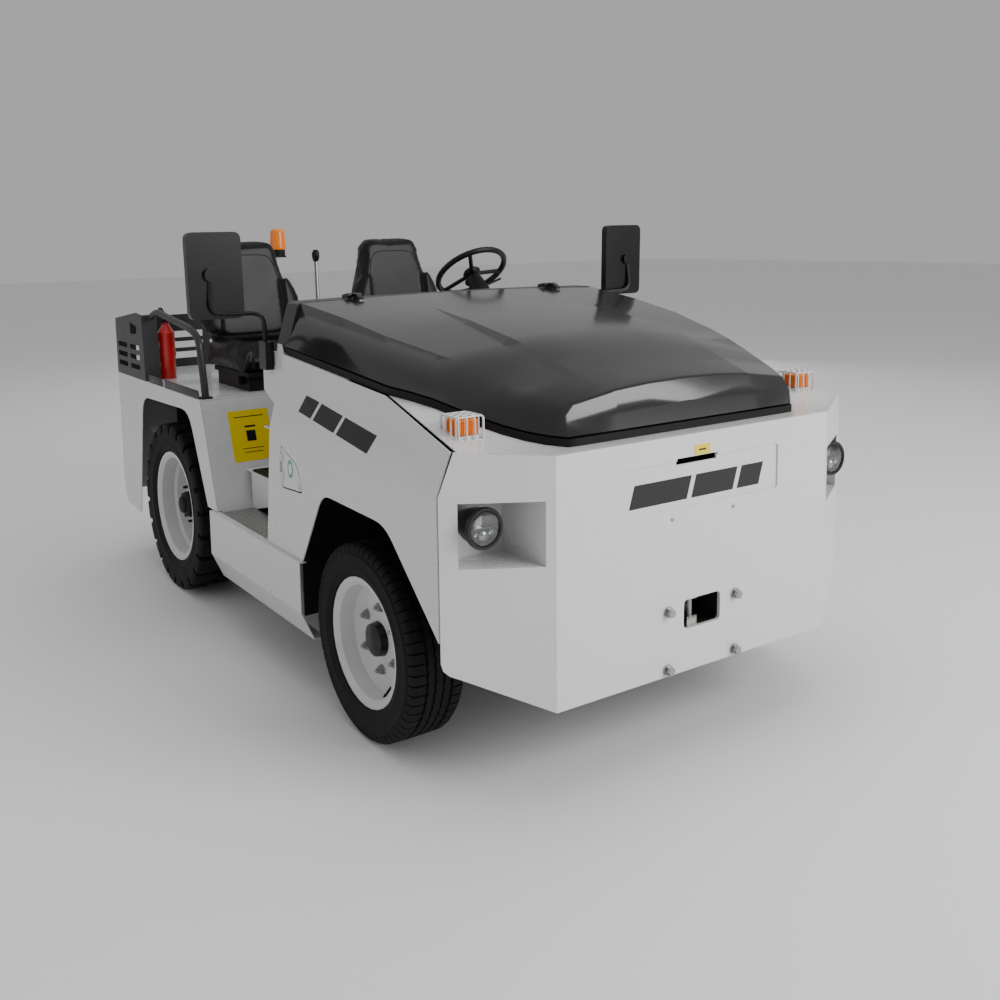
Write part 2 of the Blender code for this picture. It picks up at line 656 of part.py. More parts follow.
def rear_guard():
    """The guard round the rear tray: two slotted sides with front pillars, and a slotted back."""
    low, back = DECK_Z + GAP, REAR_FACE - 0.002
    faces = []
    for sign in (-1, 1):
        x, inner = sign * HALF_WIDTH, sign * (HALF_WIDTH - GUARD_RETURN)
        side = [(x, back, low), (x, back, GUARD_REAR_TOP), (x, 3.02, GUARD_FRONT_TOP),
                (x, GUARD_FRONT_HIGH, GUARD_FRONT_TOP - 0.008), (x, GUARD_FRONT_LOW, low)]
        faces.append(side)
        faces.append([side[3], (inner, GUARD_FRONT_HIGH - 0.012, GUARD_FRONT_TOP - 0.006),
                      (inner, GUARD_FRONT_LOW - 0.012, low), side[4]])
    faces.append([(-HALF_WIDTH, back, low), (HALF_WIDTH, back, low),
                  (HALF_WIDTH, back, GUARD_REAR_TOP), (-HALF_WIDTH, back, GUARD_REAR_TOP)])
    base = bent_sheet(faces, SHEET, (0, 1, 0))
    cuts = []
    for sign in (-1, 1):
        reach = (sign * (HALF_WIDTH - 0.03), sign * (HALF_WIDTH + 0.02))
        for row in range(3):
            z = 1.045 + 0.050 * row
            for start, end in ((2.985, 3.145), (3.195, 3.355)):
                slot = outline_with_corners([(start, z, 0.008), (end, z, 0.008),
                                             (end, z + 0.026, 0.008), (start, z + 0.026, 0.008)])
                cuts.append(prism(slot, "x", *reach))
        hand = outline_with_corners([(3.02, 1.228, 0.01), (3.13, 1.222, 0.01), (3.13, 1.285, 0.01),
                                     (3.02, 1.268, 0.01)])
        cuts.append(prism(hand, "x", *reach))
    for low_x, high_x in ((-0.80, -0.42), (-0.38, -0.02), (0.02, 0.38), (0.42, 0.80)):
        for row in range(3):
            z = 1.045 + 0.058 * row
            cuts.append(box((low_x, back - 0.03, z), (high_x, back + 0.02, z + 0.036)))
    return assemble("rear_guard", "guard_grey", base, [], cuts)


def handrail(name, sign):
    """The grab rail beside a seat, from the deck's front corner back to the guard."""
    x = sign * 0.862
    foot = (x, 2.162, DECK_Z + 0.005)
    route = [foot, (x, 2.215, 1.268), (x, 2.33, 1.302), (x, 2.80, 1.352), (x, GUARD_FRONT_LOW - 0.014, 1.322)]
    bar = tube(route, 0.0165, 0.06, 12)
    pad = box((x - 0.025, 2.135, DECK_Z + GAP), (x + 0.025, 2.190, DECK_Z + 0.008))
    return assemble(name, "guard_grey", bar, [pad], smooth=True)


YOKE_LOW, YOKE_HIGH = FRONT_RADIUS - 0.075, FRONT_RADIUS + 0.075
EAR = 0.028
BARREL_RADIUS = 0.032
SPINDLE_RADIUS = 0.028
ROD_RADIUS = 0.011


def front_axle():
    """The front axle beam with a yoke at each end and pads up to the rails."""
    web = KINGPIN_X - BARREL_RADIUS - 0.010
    z = FRONT_RADIUS
    base = box((-web, FRONT_AXLE - 0.05, z - 0.05), (web, FRONT_AXLE + 0.05, z + 0.05))
    joins = []
    for sign in (-1, 1):
        joins.append(box((sign * (web - 0.04), FRONT_AXLE - 0.04, YOKE_LOW - EAR),
                         (sign * web, FRONT_AXLE + 0.04, YOKE_HIGH + EAR)))
        for low, high in ((YOKE_LOW - EAR, YOKE_LOW), (YOKE_HIGH, YOKE_HIGH + EAR)):
            joins.append(box((sign * (web - 0.01), FRONT_AXLE - 0.03, low),
                             (sign * KINGPIN_X, FRONT_AXLE + 0.03, high)))
            joins.append(rod((sign * KINGPIN_X, FRONT_AXLE, low), (sign * KINGPIN_X, FRONT_AXLE, high), 0.03))
        joins.append(box((sign * (RAIL_IN + 0.005), FRONT_AXLE - 0.045, z + 0.04),
                         (sign * (RAIL_OUT - 0.005), FRONT_AXLE + 0.045, RAIL_LOW - GAP)))
    return assemble("front_axle", "chassis_black", base, joins)


RIM_BORE_END = 0.800


def knuckle(name, sign):
    """A steering knuckle: the barrel between the yoke's ears, the wheel spindle and the steering arm."""
    x, z = sign * KINGPIN_X, FRONT_RADIUS
    base = rod((x, FRONT_AXLE, YOKE_LOW + GAP), (x, FRONT_AXLE, YOKE_HIGH - GAP), BARREL_RADIUS, 20)
    spindle = rod((x, FRONT_AXLE, z), (sign * (RIM_BORE_END - 0.001), FRONT_AXLE, z), SPINDLE_RADIUS, 20)
    plate = rod((sign * (KINGPIN_X + 0.018), FRONT_AXLE, z), (sign * 0.688, FRONT_AXLE, z), 0.052, 20)
    low = YOKE_LOW + 0.004
    end = FRONT_AXLE + STEER_ARM
    outline = [(x - 0.016, FRONT_AXLE), (x - 0.016, end), (x - 0.010, end + 0.012), (x, end + 0.017),
               (x + 0.010, end + 0.012), (x + 0.016, end), (x + 0.016, FRONT_AXLE)]
    arm = prism(outline, "z", low, low + 0.018)
    return assemble(name, "chassis_black", base, [spindle, plate, arm], pivot=(x, FRONT_AXLE, z))


def tie_rod():
    """The bar that joins the two steering arms, with an eye over each arm's end."""
    z = YOKE_LOW + 0.004 + 0.018 + GAP
    station = FRONT_AXLE + STEER_ARM
    base = rod((-KINGPIN_X, station, z + 0.013), (KINGPIN_X, station, z + 0.013), ROD_RADIUS, 12)
    joins = [rod((sign * KINGPIN_X, station, z), (sign * KINGPIN_X, station, z + 0.026),
                 0.018) for sign in (-1, 1)]
    return assemble("tie_rod", "chassis_black", base, joins, pivot=(-KINGPIN_X, station, z))


def front_rim(name, sign):
    """A front wheel's rim with its disc, hub and cap, turned about the axle."""
    face = TYRE_FACE - 0.016
    back = TYRE_FACE - FRONT_TYRE_WIDTH + 0.020
    well, flange = FRONT_FLANGE - 0.022, FRONT_FLANGE
    profile = [(RIM_BORE_END, 0), (RIM_BORE_END, SPINDLE_RADIUS + GAP), (0.735, SPINDLE_RADIUS + GAP),
               (0.735, 0.062),
               (0.784, 0.072), (0.788, well - 0.012), (back, well - 0.008), (back, flange), (back + 0.008,
                                                                                             flange),
               (back + 0.012, well), (face - 0.012, well), (face - 0.008, flange), (face, flange),
               (face, flange - 0.014), (face - 0.012, well - 0.008), (0.812, well - 0.016), (0.800, 0.150),
               (0.806, 0.080), (0.812, 0.060), (0.838, 0.056), (0.848, 0.030), (0.850, 0)]
    made = turned([(along, radius) for along, radius in profile], (0, FRONT_AXLE, FRONT_RADIUS),
                  (sign, 0, 0), RIM_SEGMENTS)
    return assemble(name, "body_white", made, smooth=True, pivot=(0, FRONT_AXLE, FRONT_RADIUS))


def tyre(name, sign, axle, radius, width, flange):
    """A tyre, turned round its rim between the two flanges."""
    outer, inner = TYRE_FACE, TYRE_FACE - width
    face, back, well = TYRE_FACE - 0.016, inner + 0.020, flange - 0.022
    wall = radius - flange
    profile = [(back + 0.0125, well + GAP), (back + 0.0085, flange + GAP), (back - 0.002, flange + 0.001),
               (inner, flange + wall * 0.38), (inner + 0.006, radius - 0.030), (inner + 0.015, radius - 0.010),
               (inner + 0.028, radius), (outer - 0.028, radius), (outer - 0.015, radius - 0.010),
               (outer - 0.006, radius - 0.030), (outer, flange + wall * 0.38), (face + 0.002, flange + 0.001),
               (face - 0.0085, flange + GAP), (face - 0.0125, well + GAP)]
    made = turned(profile, (0, axle, radius), (sign, 0, 0), RIM_SEGMENTS)
    return assemble(name, "tyre_rubber", made, smooth=True, pivot=(0, axle, radius))


REAR_BORE_END = 0.720
REAR_STUB = 0.042


def rear_rim(name, sign):
    """A rear wheel's deep rim with its disc far in and a drive hub."""
    face = TYRE_FACE - 0.016
    back = TYRE_FACE - REAR_TYRE_WIDTH + 0.020
    well, flange = REAR_FLANGE - 0.022, REAR_FLANGE
    profile = [(REAR_BORE_END, 0), (REAR_BORE_END, REAR_STUB + GAP), (0.665, REAR_STUB + GAP), (0.665, 0.10),
               (0.718, 0.11), (0.722, well - 0.012), (back, well - 0.008), (back, flange), (back + 0.008,
                                                                                            flange),
               (back + 0.012, well), (face - 0.012, well), (face - 0.008, flange), (face, flange),
               (face, flange - 0.016), (face - 0.014, well - 0.010), (0.800, well - 0.012), (0.790,
                                                                                             well - 0.030),
               (0.742, well - 0.036), (0.736, 0.105), (0.752, 0.098), (0.760, 0.070), (0.800, 0.062),
               (0.812, 0.040), (0.815, 0)]
    made = turned(profile, (0, REAR_AXLE, REAR_RADIUS), (sign, 0, 0), RIM_SEGMENTS)
    return assemble(name, "body_white", made, smooth=True, pivot=(0, REAR_AXLE, REAR_RADIUS))


def rear_axle():
    """The rear drive axle: housing tube, differential, drive motor and spring pads."""
    z = REAR_RADIUS
    base = rod((-0.625, REAR_AXLE, z), (0.625, REAR_AXLE, z), 0.062, 20)
    joins = [rod((-REAR_BORE_END + 0.001, REAR_AXLE, z), (REAR_BORE_END - 0.001, REAR_AXLE, z), REAR_STUB, 20)]
    ball = [(-0.14, 0), (-0.12, 0.09), (-0.06, 0.14), (0.06, 0.14), (0.12, 0.09), (0.14, 0)]
    joins.append(turned(ball, (0, REAR_AXLE, z), (1, 0, 0), 20))
    joins.append(rod((0, 2.20, z), (0, REAR_AXLE, z), 0.115, 24))
    for sign in (-1, 1):
        joins.append(box((sign * (RAIL_IN + 0.005), REAR_AXLE - 0.055, z),
                         (sign * (RAIL_OUT - 0.005), REAR_AXLE + 0.055, RAIL_LOW - GAP)))
    return assemble("rear_axle", "chassis_black", base, joins)


BATTERY_TOP = 1.0


def battery_block():
    """The traction battery as one plain block on the rails under the hood."""
    return assemble("battery_block", "chassis_black", box((-0.40, 0.16, RAIL_HIGH + GAP), (0.40, 1.16,
                                                                                           BATTERY_TOP)))


def front_hitch():
    """The towing jaw behind the front plate's slot, with its lug and the four bolts that hold it."""
    back = PLATE + GAP
    base = box((-0.19, back, BOLT_LOW - 0.03), (0.19, 0.20, BOLT_HIGH + 0.03))
    room = box((-JAW_X - 0.002, -0.05, JAW_LOW - 0.004), (JAW_X + 0.002, 0.16, JAW_HIGH + 0.004))
    joins, lugs = [], []
    for x in (-BOLT_X, BOLT_X):
        for z in (BOLT_HIGH, BOLT_LOW):
            joins.append(rod((x, -GAP - 0.004, z), (x, back + 0.01, z), 0.010, 12))
            joins.append(rod((x, -GAP, z), (x, -0.006, z), 0.0185, 20))
            joins.append(rod((x, -0.005, z), (x, -BOLT_HEAD, z), 0.0145, 6))
    for low, high in ((JAW_LOW - 0.006, JAW_LOW + 0.014), (JAW_HIGH - 0.026, JAW_HIGH - 0.012)):
        lugs.append(box((-0.022, 0.045, low), (0.022, 0.17, high)))
    lugs.append(rod((0, 0.060, JAW_LOW - 0.006), (0, 0.060, JAW_HIGH + 0.006), 0.011, 14))
    return assemble("front_hitch", "cast_grey", base, joins, [room], lugs)


HITCH_LOW, HITCH_HIGH = 0.36, 0.62


def rear_hitch():
    """The stepped towing hitch on the rear plate: three jaws one above another and a drop-in pin."""
    back, reach = REAR_FACE + GAP, OVERALL_REAR
    base = box((-0.13, back, HITCH_LOW - 0.03), (0.13, back + 0.016, HITCH_HIGH + 0.03))
    body = outline_with_corners([(-0.075, back + 0.01), (-0.075, reach - 0.03), (-0.045, reach, 0.01),
                                 (0.045, reach, 0.01), (0.075, reach - 0.03), (0.075, back + 0.01)])
    joins = [prism(body, "z", HITCH_LOW, HITCH_HIGH)]
    cuts = []
    for low in (HITCH_LOW + 0.025, HITCH_LOW + 0.105, HITCH_LOW + 0.185):
        cuts.append(box((-0.09, back + 0.030, low), (0.09, reach + 0.02, low + 0.050)))
    pin = rod((0, reach - 0.036, HITCH_LOW + 0.01), (0, reach - 0.036, HITCH_HIGH + 0.035), 0.013, 16)
    knob = turned([(0, 0), (0, 0.013), (0.010, 0.022), (0.026, 0.022), (0.034, 0.012), (0.034, 0)],
                  (0, reach - 0.036, HITCH_HIGH + 0.03), (0, 0, 1), 16)
    return assemble("rear_hitch", "chassis_black", base, joins, cuts, [pin, knob])


def headlight(name, sign):
    """A round headlight on the back wall of its pocket."""
    spot = (sign * LAMP_X, wing_station(LAMP_X) - 0.004, LAMP_Z)
    depth = POCKET_BACK - GAP - spot[1]
    profile = [(0, 0), (0.0, LAMP_RADIUS - 0.012), (0.006, LAMP_RADIUS), (0.028, LAMP_RADIUS),
               (0.040, LAMP_RADIUS - 0.008),
               (0.075, 0.038), (depth, 0.034), (depth, 0)]
    return assemble(name, "lamp_glass", turned(profile, spot, (0, 1, 0), 28), smooth=True)


LAMP_DECK_X, LAMP_DECK_STATION = 0.756, 0.262


def corner_lamp(name, sign):
    """The amber turn lamp on the front corner, its base cut to the ledge's slope."""
    z = WING_TOP + 0.006
    base = box((sign * (LAMP_DECK_X - 0.040), LAMP_DECK_STATION - 0.040, z),
               (sign * (LAMP_DECK_X + 0.040), LAMP_DECK_STATION + 0.040, z + 0.026))
    lens = box((sign * (LAMP_DECK_X - 0.034), LAMP_DECK_STATION - 0.034, z + 0.010),
               (sign * (LAMP_DECK_X + 0.034), LAMP_DECK_STATION + 0.034, z + 0.074))
    below = bent_sheet(ledge_faces(GAP), 0.06, (0, 0, 1))
    return assemble(name, "amber_lens", base, [lens], [below])


# The hood's lines, as station, x, z
HOOD_SHOULDER = [(0.084, 0.469, 1.194), (0.157, 0.511, 1.210), (0.250, 0.552, 1.231), (0.490, 0.617, 1.301),
                 (0.806, 0.695, 1.364), (1.042, 0.714, 1.407), (HOOD_REAR, 0.734, 1.453)]
HOOD_CREASE = [(0.071, 0.494, 1.145), (0.240, 0.615, 1.180), (0.430, 0.700, 1.217), (0.660, 0.765, 1.268),
               (0.920, 0.782, 1.296), (1.140, 0.779, 1.320), (HOOD_REAR - 0.002, 0.771, 1.354)]
HOOD_BULGE = [(0.088, 0.300), (0.200, 0.325), (0.450, 0.352), (0.750, 0.345), (0.980, 0.325),
              (HOOD_REAR, 0.310)]
BULGE_START, BULGE_HEIGHT = 1.00, 0.020
SEAL_PLAY = 0.006
SHOULDER_STATIONS = (0.084, 0.110, 0.145, 0.185, 0.235, 0.295, 0.365, 0.450, 0.560, 0.830, 1.090, HOOD_REAR)


def along(line, station):
    """Values of a smooth curve through these (station, ...) points, at this station."""
    last = len(line) - 1
    k = 0
    while k < last - 1 and line[k + 1][0] < station:
        k += 1
    width = line[k + 1][0] - line[k][0]
    t = (station - line[k][0]) / width
    values = []
    for n in range(1, len(line[0])):
        slopes = []
        for spot in (k, k + 1):
            low, high = max(spot - 1, 0), min(spot + 1, last)
            slopes.append((line[high][n] - line[low][n]) / (line[high][0] - line[low][0]) * width)
        a, b = line[k][n], line[k + 1][n]
        values.append(a * (1 + 2 * t) * (1 - t) ** 2 + slopes[0] * t * (1 - t) ** 2
                      + b * t * t * (3 - 2 * t) + slopes[1] * t * t * (t - 1))
    return values


def hood_top(x, station, raised):
    """Height of the hood's upper surface here, on the middle bulge where raised."""
    edge, height = along(HOOD_SHOULDER, station)
    crown = 0.012 + 0.028 * (1 - station / HOOD_REAR)
    z = height + crown * (1 - (x / edge) ** 2)
    share = (station - HOOD_BULGE[0][0]) / (BULGE_START - HOOD_BULGE[0][0])
    if raised and 0 < share < 1:
        z += BULGE_HEIGHT * math.sin(math.pi * share) ** 0.8
    return z


def hood_rows():
    """The left half of the hood's outer surface: three rows round the sides and front, and the upper grid.

    Each row runs from the middle of the front to the rear. The grid has a line of points across,
    from the shoulder to the middle, for each place along the shoulder.
    """
    lower, crease, upper = [], [], []
    for x in (0.0, 0.160, HOOD_BULGE[0][1], HOOD_BULGE[0][1] + 0.012):
        lower.append((x, HOOD_FRONT, seal_height(HOOD_FRONT) + SEAL_HEIGHT + SEAL_PLAY))
        crease.append((x, HOOD_FRONT + 0.001, HOOD_CREASE[0][2] + 0.02 * (1 - x / HOOD_SHOULDER[0][1])))
        upper.append((x, HOOD_SHOULDER[0][0] + 0.004, hood_top(x, HOOD_SHOULDER[0][0] + 0.004, False)))
    edge = seal_outline()[3:]
    grid = []
    for k, station in enumerate(SHOULDER_STATIONS):
        x, own = edge[k]
        if k == len(SHOULDER_STATIONS) - 1:
            own = HOOD_REAR - 0.012
        lower.append((x, own, seal_height(own) + SEAL_HEIGHT + SEAL_PLAY))
        share = k / (len(SHOULDER_STATIONS) - 1)
        middle = own * 0.55 + station * 0.45 + share * 0.004
        crease.append((along(HOOD_CREASE, middle)[0], middle, along(HOOD_CREASE, middle)[1]))
        side, height = along(HOOD_SHOULDER, station)
        upper.append((side, station, height))
        rim = along(HOOD_BULGE, max(station, HOOD_BULGE[0][0]))[0]
        phase = (station - HOOD_BULGE[0][0]) / (BULGE_START - HOOD_BULGE[0][0])
        foot = rim + 0.012 + 0.022 * math.sin(math.pi * min(max(phase, 0), 1))
        if k:
            grid.append([(side, station, height), (foot, station, hood_top(foot, station, False)),
                         (rim, station, hood_top(rim, station, True)),
                         (0.160, station, hood_top(0.160, station, True)), (0, station,
                                                                            hood_top(0, station, True))])
    grid.insert(0, [upper[k] for k in (4, 3, 2, 1, 0)])
    return lower, crease, upper, grid


def hood():
    """The hood: a moulded skin with slanted sides and a raised middle, on two hinge lugs at its rear."""
    lower, crease, upper, grid = hood_rows()
    faces = []
    for sign in (-1, 1):
        half = []
        for first, second in ((lower, crease), (crease, upper)):
            for k in range(len(first) - 1):
                half.append([first[k], first[k + 1], second[k + 1], second[k]])
        for first, second in zip(grid, grid[1:]):
            for k in range(len(first) - 1):
                half.append([first[k], second[k], second[k + 1], first[k + 1]])
        for a, b, c, d in half:
            for face in ([a, b, c], [a, c, d]):
                faces.append([(sign * x, s, z) for x, s, z in face])
    axis = (HOOD_HINGE_STATION, HOOD_HINGE_Z)
    lugs = []
    for sign in (-1, 1):
        inner, outer = sign * (HOOD_HINGE_X - 0.020), sign * HOOD_HINGE_X
        lugs.append(rod((inner, *axis), (outer, *axis), 0.008, 12))
        lugs.append(prism([(1.345, 1.448), (1.345, 1.462), (1.372, 1.480), (axis[0], 1.480), (axis[0], 1.473),
                           (1.394, 1.468), (1.380, 1.448)], "x", inner, outer))
    return assemble("hood", "hood_grey", bent_sheet(faces, HOOD_SKIN, (0, 0, 1)), lugs, pivot=(0, *axis))


def hood_seal():
    """The rubber seal that the hood's edge rests on, round the front and both sides."""
    outer, inner = seal_route(-0.004, GAP), seal_route(0.020, GAP)
    made = bmesh.new()
    rings = []
    for (x1, s1, z1), (x2, s2, _) in zip(outer, inner):
        low, high = z1, z1 + SEAL_HEIGHT - GAP
        rings.append([made.verts.new(place(*p)) for p in ((x1, s1, low), (x1, s1, high), (x2, s2, high),
                                                          (x2, s2, low))])
    for first, second in zip(rings, rings[1:]):
        for k in range(4):
            j = (k + 1) % 4
            made.faces.new((first[k], first[j], second[j], second[k]))
    made.faces.new(rings[0])
    made.faces.new(rings[-1])
    return assemble("hood_seal", "seal_rubber", made)


ARCH_START, ARCH_END, ARCH_FOOT = 1.405, 1.505, 1.265


def arch_line(inset):
    """The cowl arch's outline from its right foot over to its left foot, as (x, z), moved inwards."""
    half = [(0.803 - inset, ARCH_FOOT), (0.747 - inset, 1.449 - inset), (0.725 - inset, 1.457 - inset),
            (0.50 - inset * 0.5, 1.4615 - inset), (0.20, 1.464 - inset)]
    return [(-x, z) for x, z in half] + [(x, z) for x, z in reversed(half)]


def cowl_arch():
    """The arched band behind the hood, with the hood's hinge blocks on it."""
    shape = arch_line(0.0) + list(reversed(arch_line(0.020)))
    axis = (HOOD_HINGE_STATION, HOOD_HINGE_Z)
    blocks = []
    for sign in (-1, 1):
        for inner, outer in ((HOOD_HINGE_X + GAP, HOOD_HINGE_X + 0.022),
                             (HOOD_HINGE_X - 0.042, HOOD_HINGE_X - 0.020 - GAP)):
            blocks.append(rod((sign * inner, *axis), (sign * outer, *axis), 0.008, 12))
            blocks.append(prism([(axis[0], 1.482), (axis[0], 1.460), (axis[0] + 0.045, 1.460),
                                 (axis[0] + 0.045, 1.474)],
                                "x", sign * inner, sign * outer))
    return assemble("cowl_arch", "guard_grey", prism(shape, "y", ARCH_START, ARCH_END), blocks)


def cowl_side(name, sign):
    """The sheet beside the cowl: a return behind the side panel, a shelf, and the plate under the arch."""
    back = [(COWL_STATION + 0.0006 + (CREASE_REAR_Z - z) * (1.427 - COWL_STATION) / (CREASE_REAR_Z - SILL_TOP), z)
            for z in (0.985, SILL_TOP + GAP)]
    leaf = [back[0], back[1], (back[1][0] + SHEET, back[1][1]), (back[0][0] + SHEET, back[0][1])]
    base = prism(leaf, "x", sign * (FLOOR_HALF + GAP), sign * (HALF_WIDTH - SHEET - GAP))
    shelf = box((sign * 0.745, back[0][0], 0.980), (sign * (HALF_WIDTH - SHEET - GAP), 1.432, 0.985))
    outline = [(COWL_STATION + 0.004, 0.982), (COWL_STATION + 0.004, 1.245), (1.402, 1.30), (1.430, 1.30),
               (1.450, 1.215),
               (1.579, 1.215), (1.579, 1.105), (1.470, 1.050), (1.432, 0.982)]
    plate = prism(outline, "x", sign * 0.822, sign * 0.827)
    foot = box((sign * 0.780, ARCH_START + 0.004, ARCH_FOOT - 0.006),
               (sign * 0.824, ARCH_END - 0.004, ARCH_FOOT - GAP))
    web = prism([(1.405, 1.20), (1.405, 1.262), (1.50, 1.262), (1.50, 1.20)], "x", sign * 0.818, sign * 0.8235)
    return assemble(name, "body_white", base, [shelf, plate, web, foot])


def dashboard():
    """The dashboard across the cab under the arch, with the firewall below it."""
    shape = [(1.400, 1.10), (1.400, 1.30), (1.425, 1.434), (1.56, 1.430), (1.63, 1.36), (1.600, 1.10)]
    base = prism(shape, "x", -0.700, 0.700)
    wall = box((-FLOOR_HALF + 0.008, 1.410, RAIL_HIGH + GAP), (FLOOR_HALF - 0.008, 1.418, 1.12))
    cuts = [box((-FLOOR_HALF - 0.01, 1.40, RAIL_HIGH - 0.1), (FLOOR_HALF + 0.01, 1.43, FLOOR_Z + GAP))]
    brackets = [box((sign * 0.50, ARCH_START + 0.02, 1.40),
                    (sign * 0.60, ARCH_END - 0.02, 1.4388)) for sign in (-1, 1)]
    return assemble("dashboard", "moulded_black", base, [wall], cuts, brackets)


COLUMN_AXIS = (0.0, math.sin(WHEEL_TILT), math.cos(WHEEL_TILT))


def on_column(reach):
    """The point this far along the steering axis from the wheel's centre, towards the driver."""
    x, station, z = WHEEL_CENTRE
    return (x, station + COLUMN_AXIS[1] * reach, z + COLUMN_AXIS[2] * reach)


def steering_column():
    """The steering column with its shroud, from the dashboard up to the wheel's hub."""
    profile = [(0, 0), (0, 0.030), (0.12, 0.034), (0.15, 0.052), (0.34, 0.048), (0.40, 0.036),
               (0.422, 0.030), (0.422, 0)]
    base = turned(profile, on_column(-0.45), COLUMN_AXIS, 20)
    foot = prism([(1.555, 1.13), (1.60, 1.36), (1.66, 1.33), (1.70, 1.24), (1.63, 1.13)], "x",
                 WHEEL_CENTRE[0] - 0.06, WHEEL_CENTRE[0] + 0.06)
    stalk = rod(on_column(-0.10), (WHEEL_CENTRE[0] + 0.16, on_column(-0.03)[1], on_column(-0.05)[2]), 0.006, 8)
    behind = prism([(1.40, 1.05), (1.40, 1.50), (1.56 + GAP, 1.430 + GAP), (1.63 + GAP, 1.36),
                    (1.60 + GAP, 1.10),
                    (1.60 + GAP, 1.05)], "x", -0.8, 0.8)
    return assemble("steering_column", "moulded_black", base, [foot, stalk], [behind])


def steering_wheel():
    """The steering wheel: rim, three spokes and hub, turned about the column's axis."""
    rim = [(0.014 * math.cos(a), WHEEL_RADIUS - 0.014 + 0.014 * math.sin(a)) for a in
           [2 * math.pi * k / 8 for k in range(8)]]
    base = turned(rim, on_column(0), COLUMN_AXIS, 32)
    hub = turned([(-0.0277, 0), (-0.0277, 0.028), (-0.018, 0.040), (-0.004, 0.044), (0.006, 0.036), (0.006, 0)],
                 on_column(0), COLUMN_AXIS, 20)
    frame = Vector(COLUMN_AXIS).to_track_quat("Z", "X").to_matrix()
    spokes = []
    for angle in (90, 210, 330):
        turn = math.radians(angle)
        reach = frame @ Vector((math.cos(turn), math.sin(turn), 0)) * (WHEEL_RADIUS - 0.014)
        start, end = on_column(-0.012), on_column(0)
        spokes.append(rod(start, (end[0] + reach.x, end[1] + reach.y, end[2] + reach.z), 0.010, 8))
    knob = turned([(-0.020, 0), (-0.020, 0.006), (0.012, 0.006), (0.014, 0.018), (0.026, 0.023), (0.040, 0.018),
                   (0.046, 0)], spinner_spot(frame), COLUMN_AXIS, 12)
    return assemble("steering_wheel", "moulded_black", base, [hub] + spokes + [knob], pivot=WHEEL_CENTRE)


def spinner_spot(frame):
    """Where the spinner knob stands on the rim."""
    turn = math.radians(150)
    reach = frame @ Vector((math.cos(turn), math.sin(turn), 0)) * (WHEEL_RADIUS - 0.014)
    start = on_column(0.018)
    return (start[0] + reach.x, start[1] + reach.y, start[2] + reach.z)


def shear(made, station_z, slope):
    """Lean a bmesh back: each point's station grows with its height above station_z."""
    for vertex in made.verts:
        vertex.co.y += (vertex.co.z - station_z) * slope
    return made


BASE_HALF, BASE_TOP = 0.20, 1.085
CUSHION_LOW, CUSHION_HIGH = BASE_TOP + GAP, 1.215
BACK_LEAN = math.tan(math.radians(10))


def seat_base(name, centre):
    """A seat's base with its slide and a control lever."""
    low = DECK_Z + GAP
    base = box((centre - BASE_HALF, SEAT_FRONT + 0.05, low),
               (centre + BASE_HALF, SEAT_FRONT + 0.44, BASE_TOP - 0.012))
    slide = box((centre - BASE_HALF - 0.01, SEAT_FRONT + 0.03, BASE_TOP - 0.022),
                (centre + BASE_HALF + 0.01, SEAT_FRONT + 0.46, BASE_TOP))
    knob = rod((centre - BASE_HALF + 0.01, SEAT_FRONT + 0.11, 1.045),
               (centre - BASE_HALF - 0.035, SEAT_FRONT + 0.11, 1.045),
               0.020, 12)
    return assemble(name, "moulded_black", base, [slide, knob])


def seat_cushion(name, centre):
    """A seat cushion with raised side bolsters and a rounded front."""
    front, back = SEAT_FRONT, SEAT_FRONT + 0.50
    outline = outline_with_corners([(front + 0.02, CUSHION_LOW), (back, CUSHION_LOW),
                                    (back, CUSHION_HIGH - 0.035),
                                    (front + 0.20, CUSHION_HIGH - 0.025), (front + 0.07,
                                                                           CUSHION_HIGH - 0.012, 0.04),
                                    (front, CUSHION_LOW + 0.055, 0.03)])
    half = SEAT_WIDTH / 2
    base = prism(outline, "x", centre - half + 0.07, centre + half - 0.07)
    bolster = outline_with_corners([(front + 0.03, CUSHION_LOW + 0.004), (back - 0.002, CUSHION_LOW + 0.004),
                                    (back - 0.002, CUSHION_HIGH - 0.01), (front + 0.22, CUSHION_HIGH, 0.10),
                                    (front + 0.06, CUSHION_HIGH - 0.012, 0.04), (front + 0.012,
                                                                                 CUSHION_LOW + 0.055, 0.03)])
    joins = []
    for sign in (-1, 1):
        inner, outer = centre + sign * (half - 0.095), centre + sign * half
        made = prism(bolster, "x", inner, outer)
        for vertex in made.verts:
            if abs(vertex.co.x - outer) < 0.001 and vertex.co.z > CUSHION_LOW + 0.05:
                vertex.co.x -= sign * 0.025
        joins.append(made)
    return assemble(name, "seat_vinyl", base, joins)


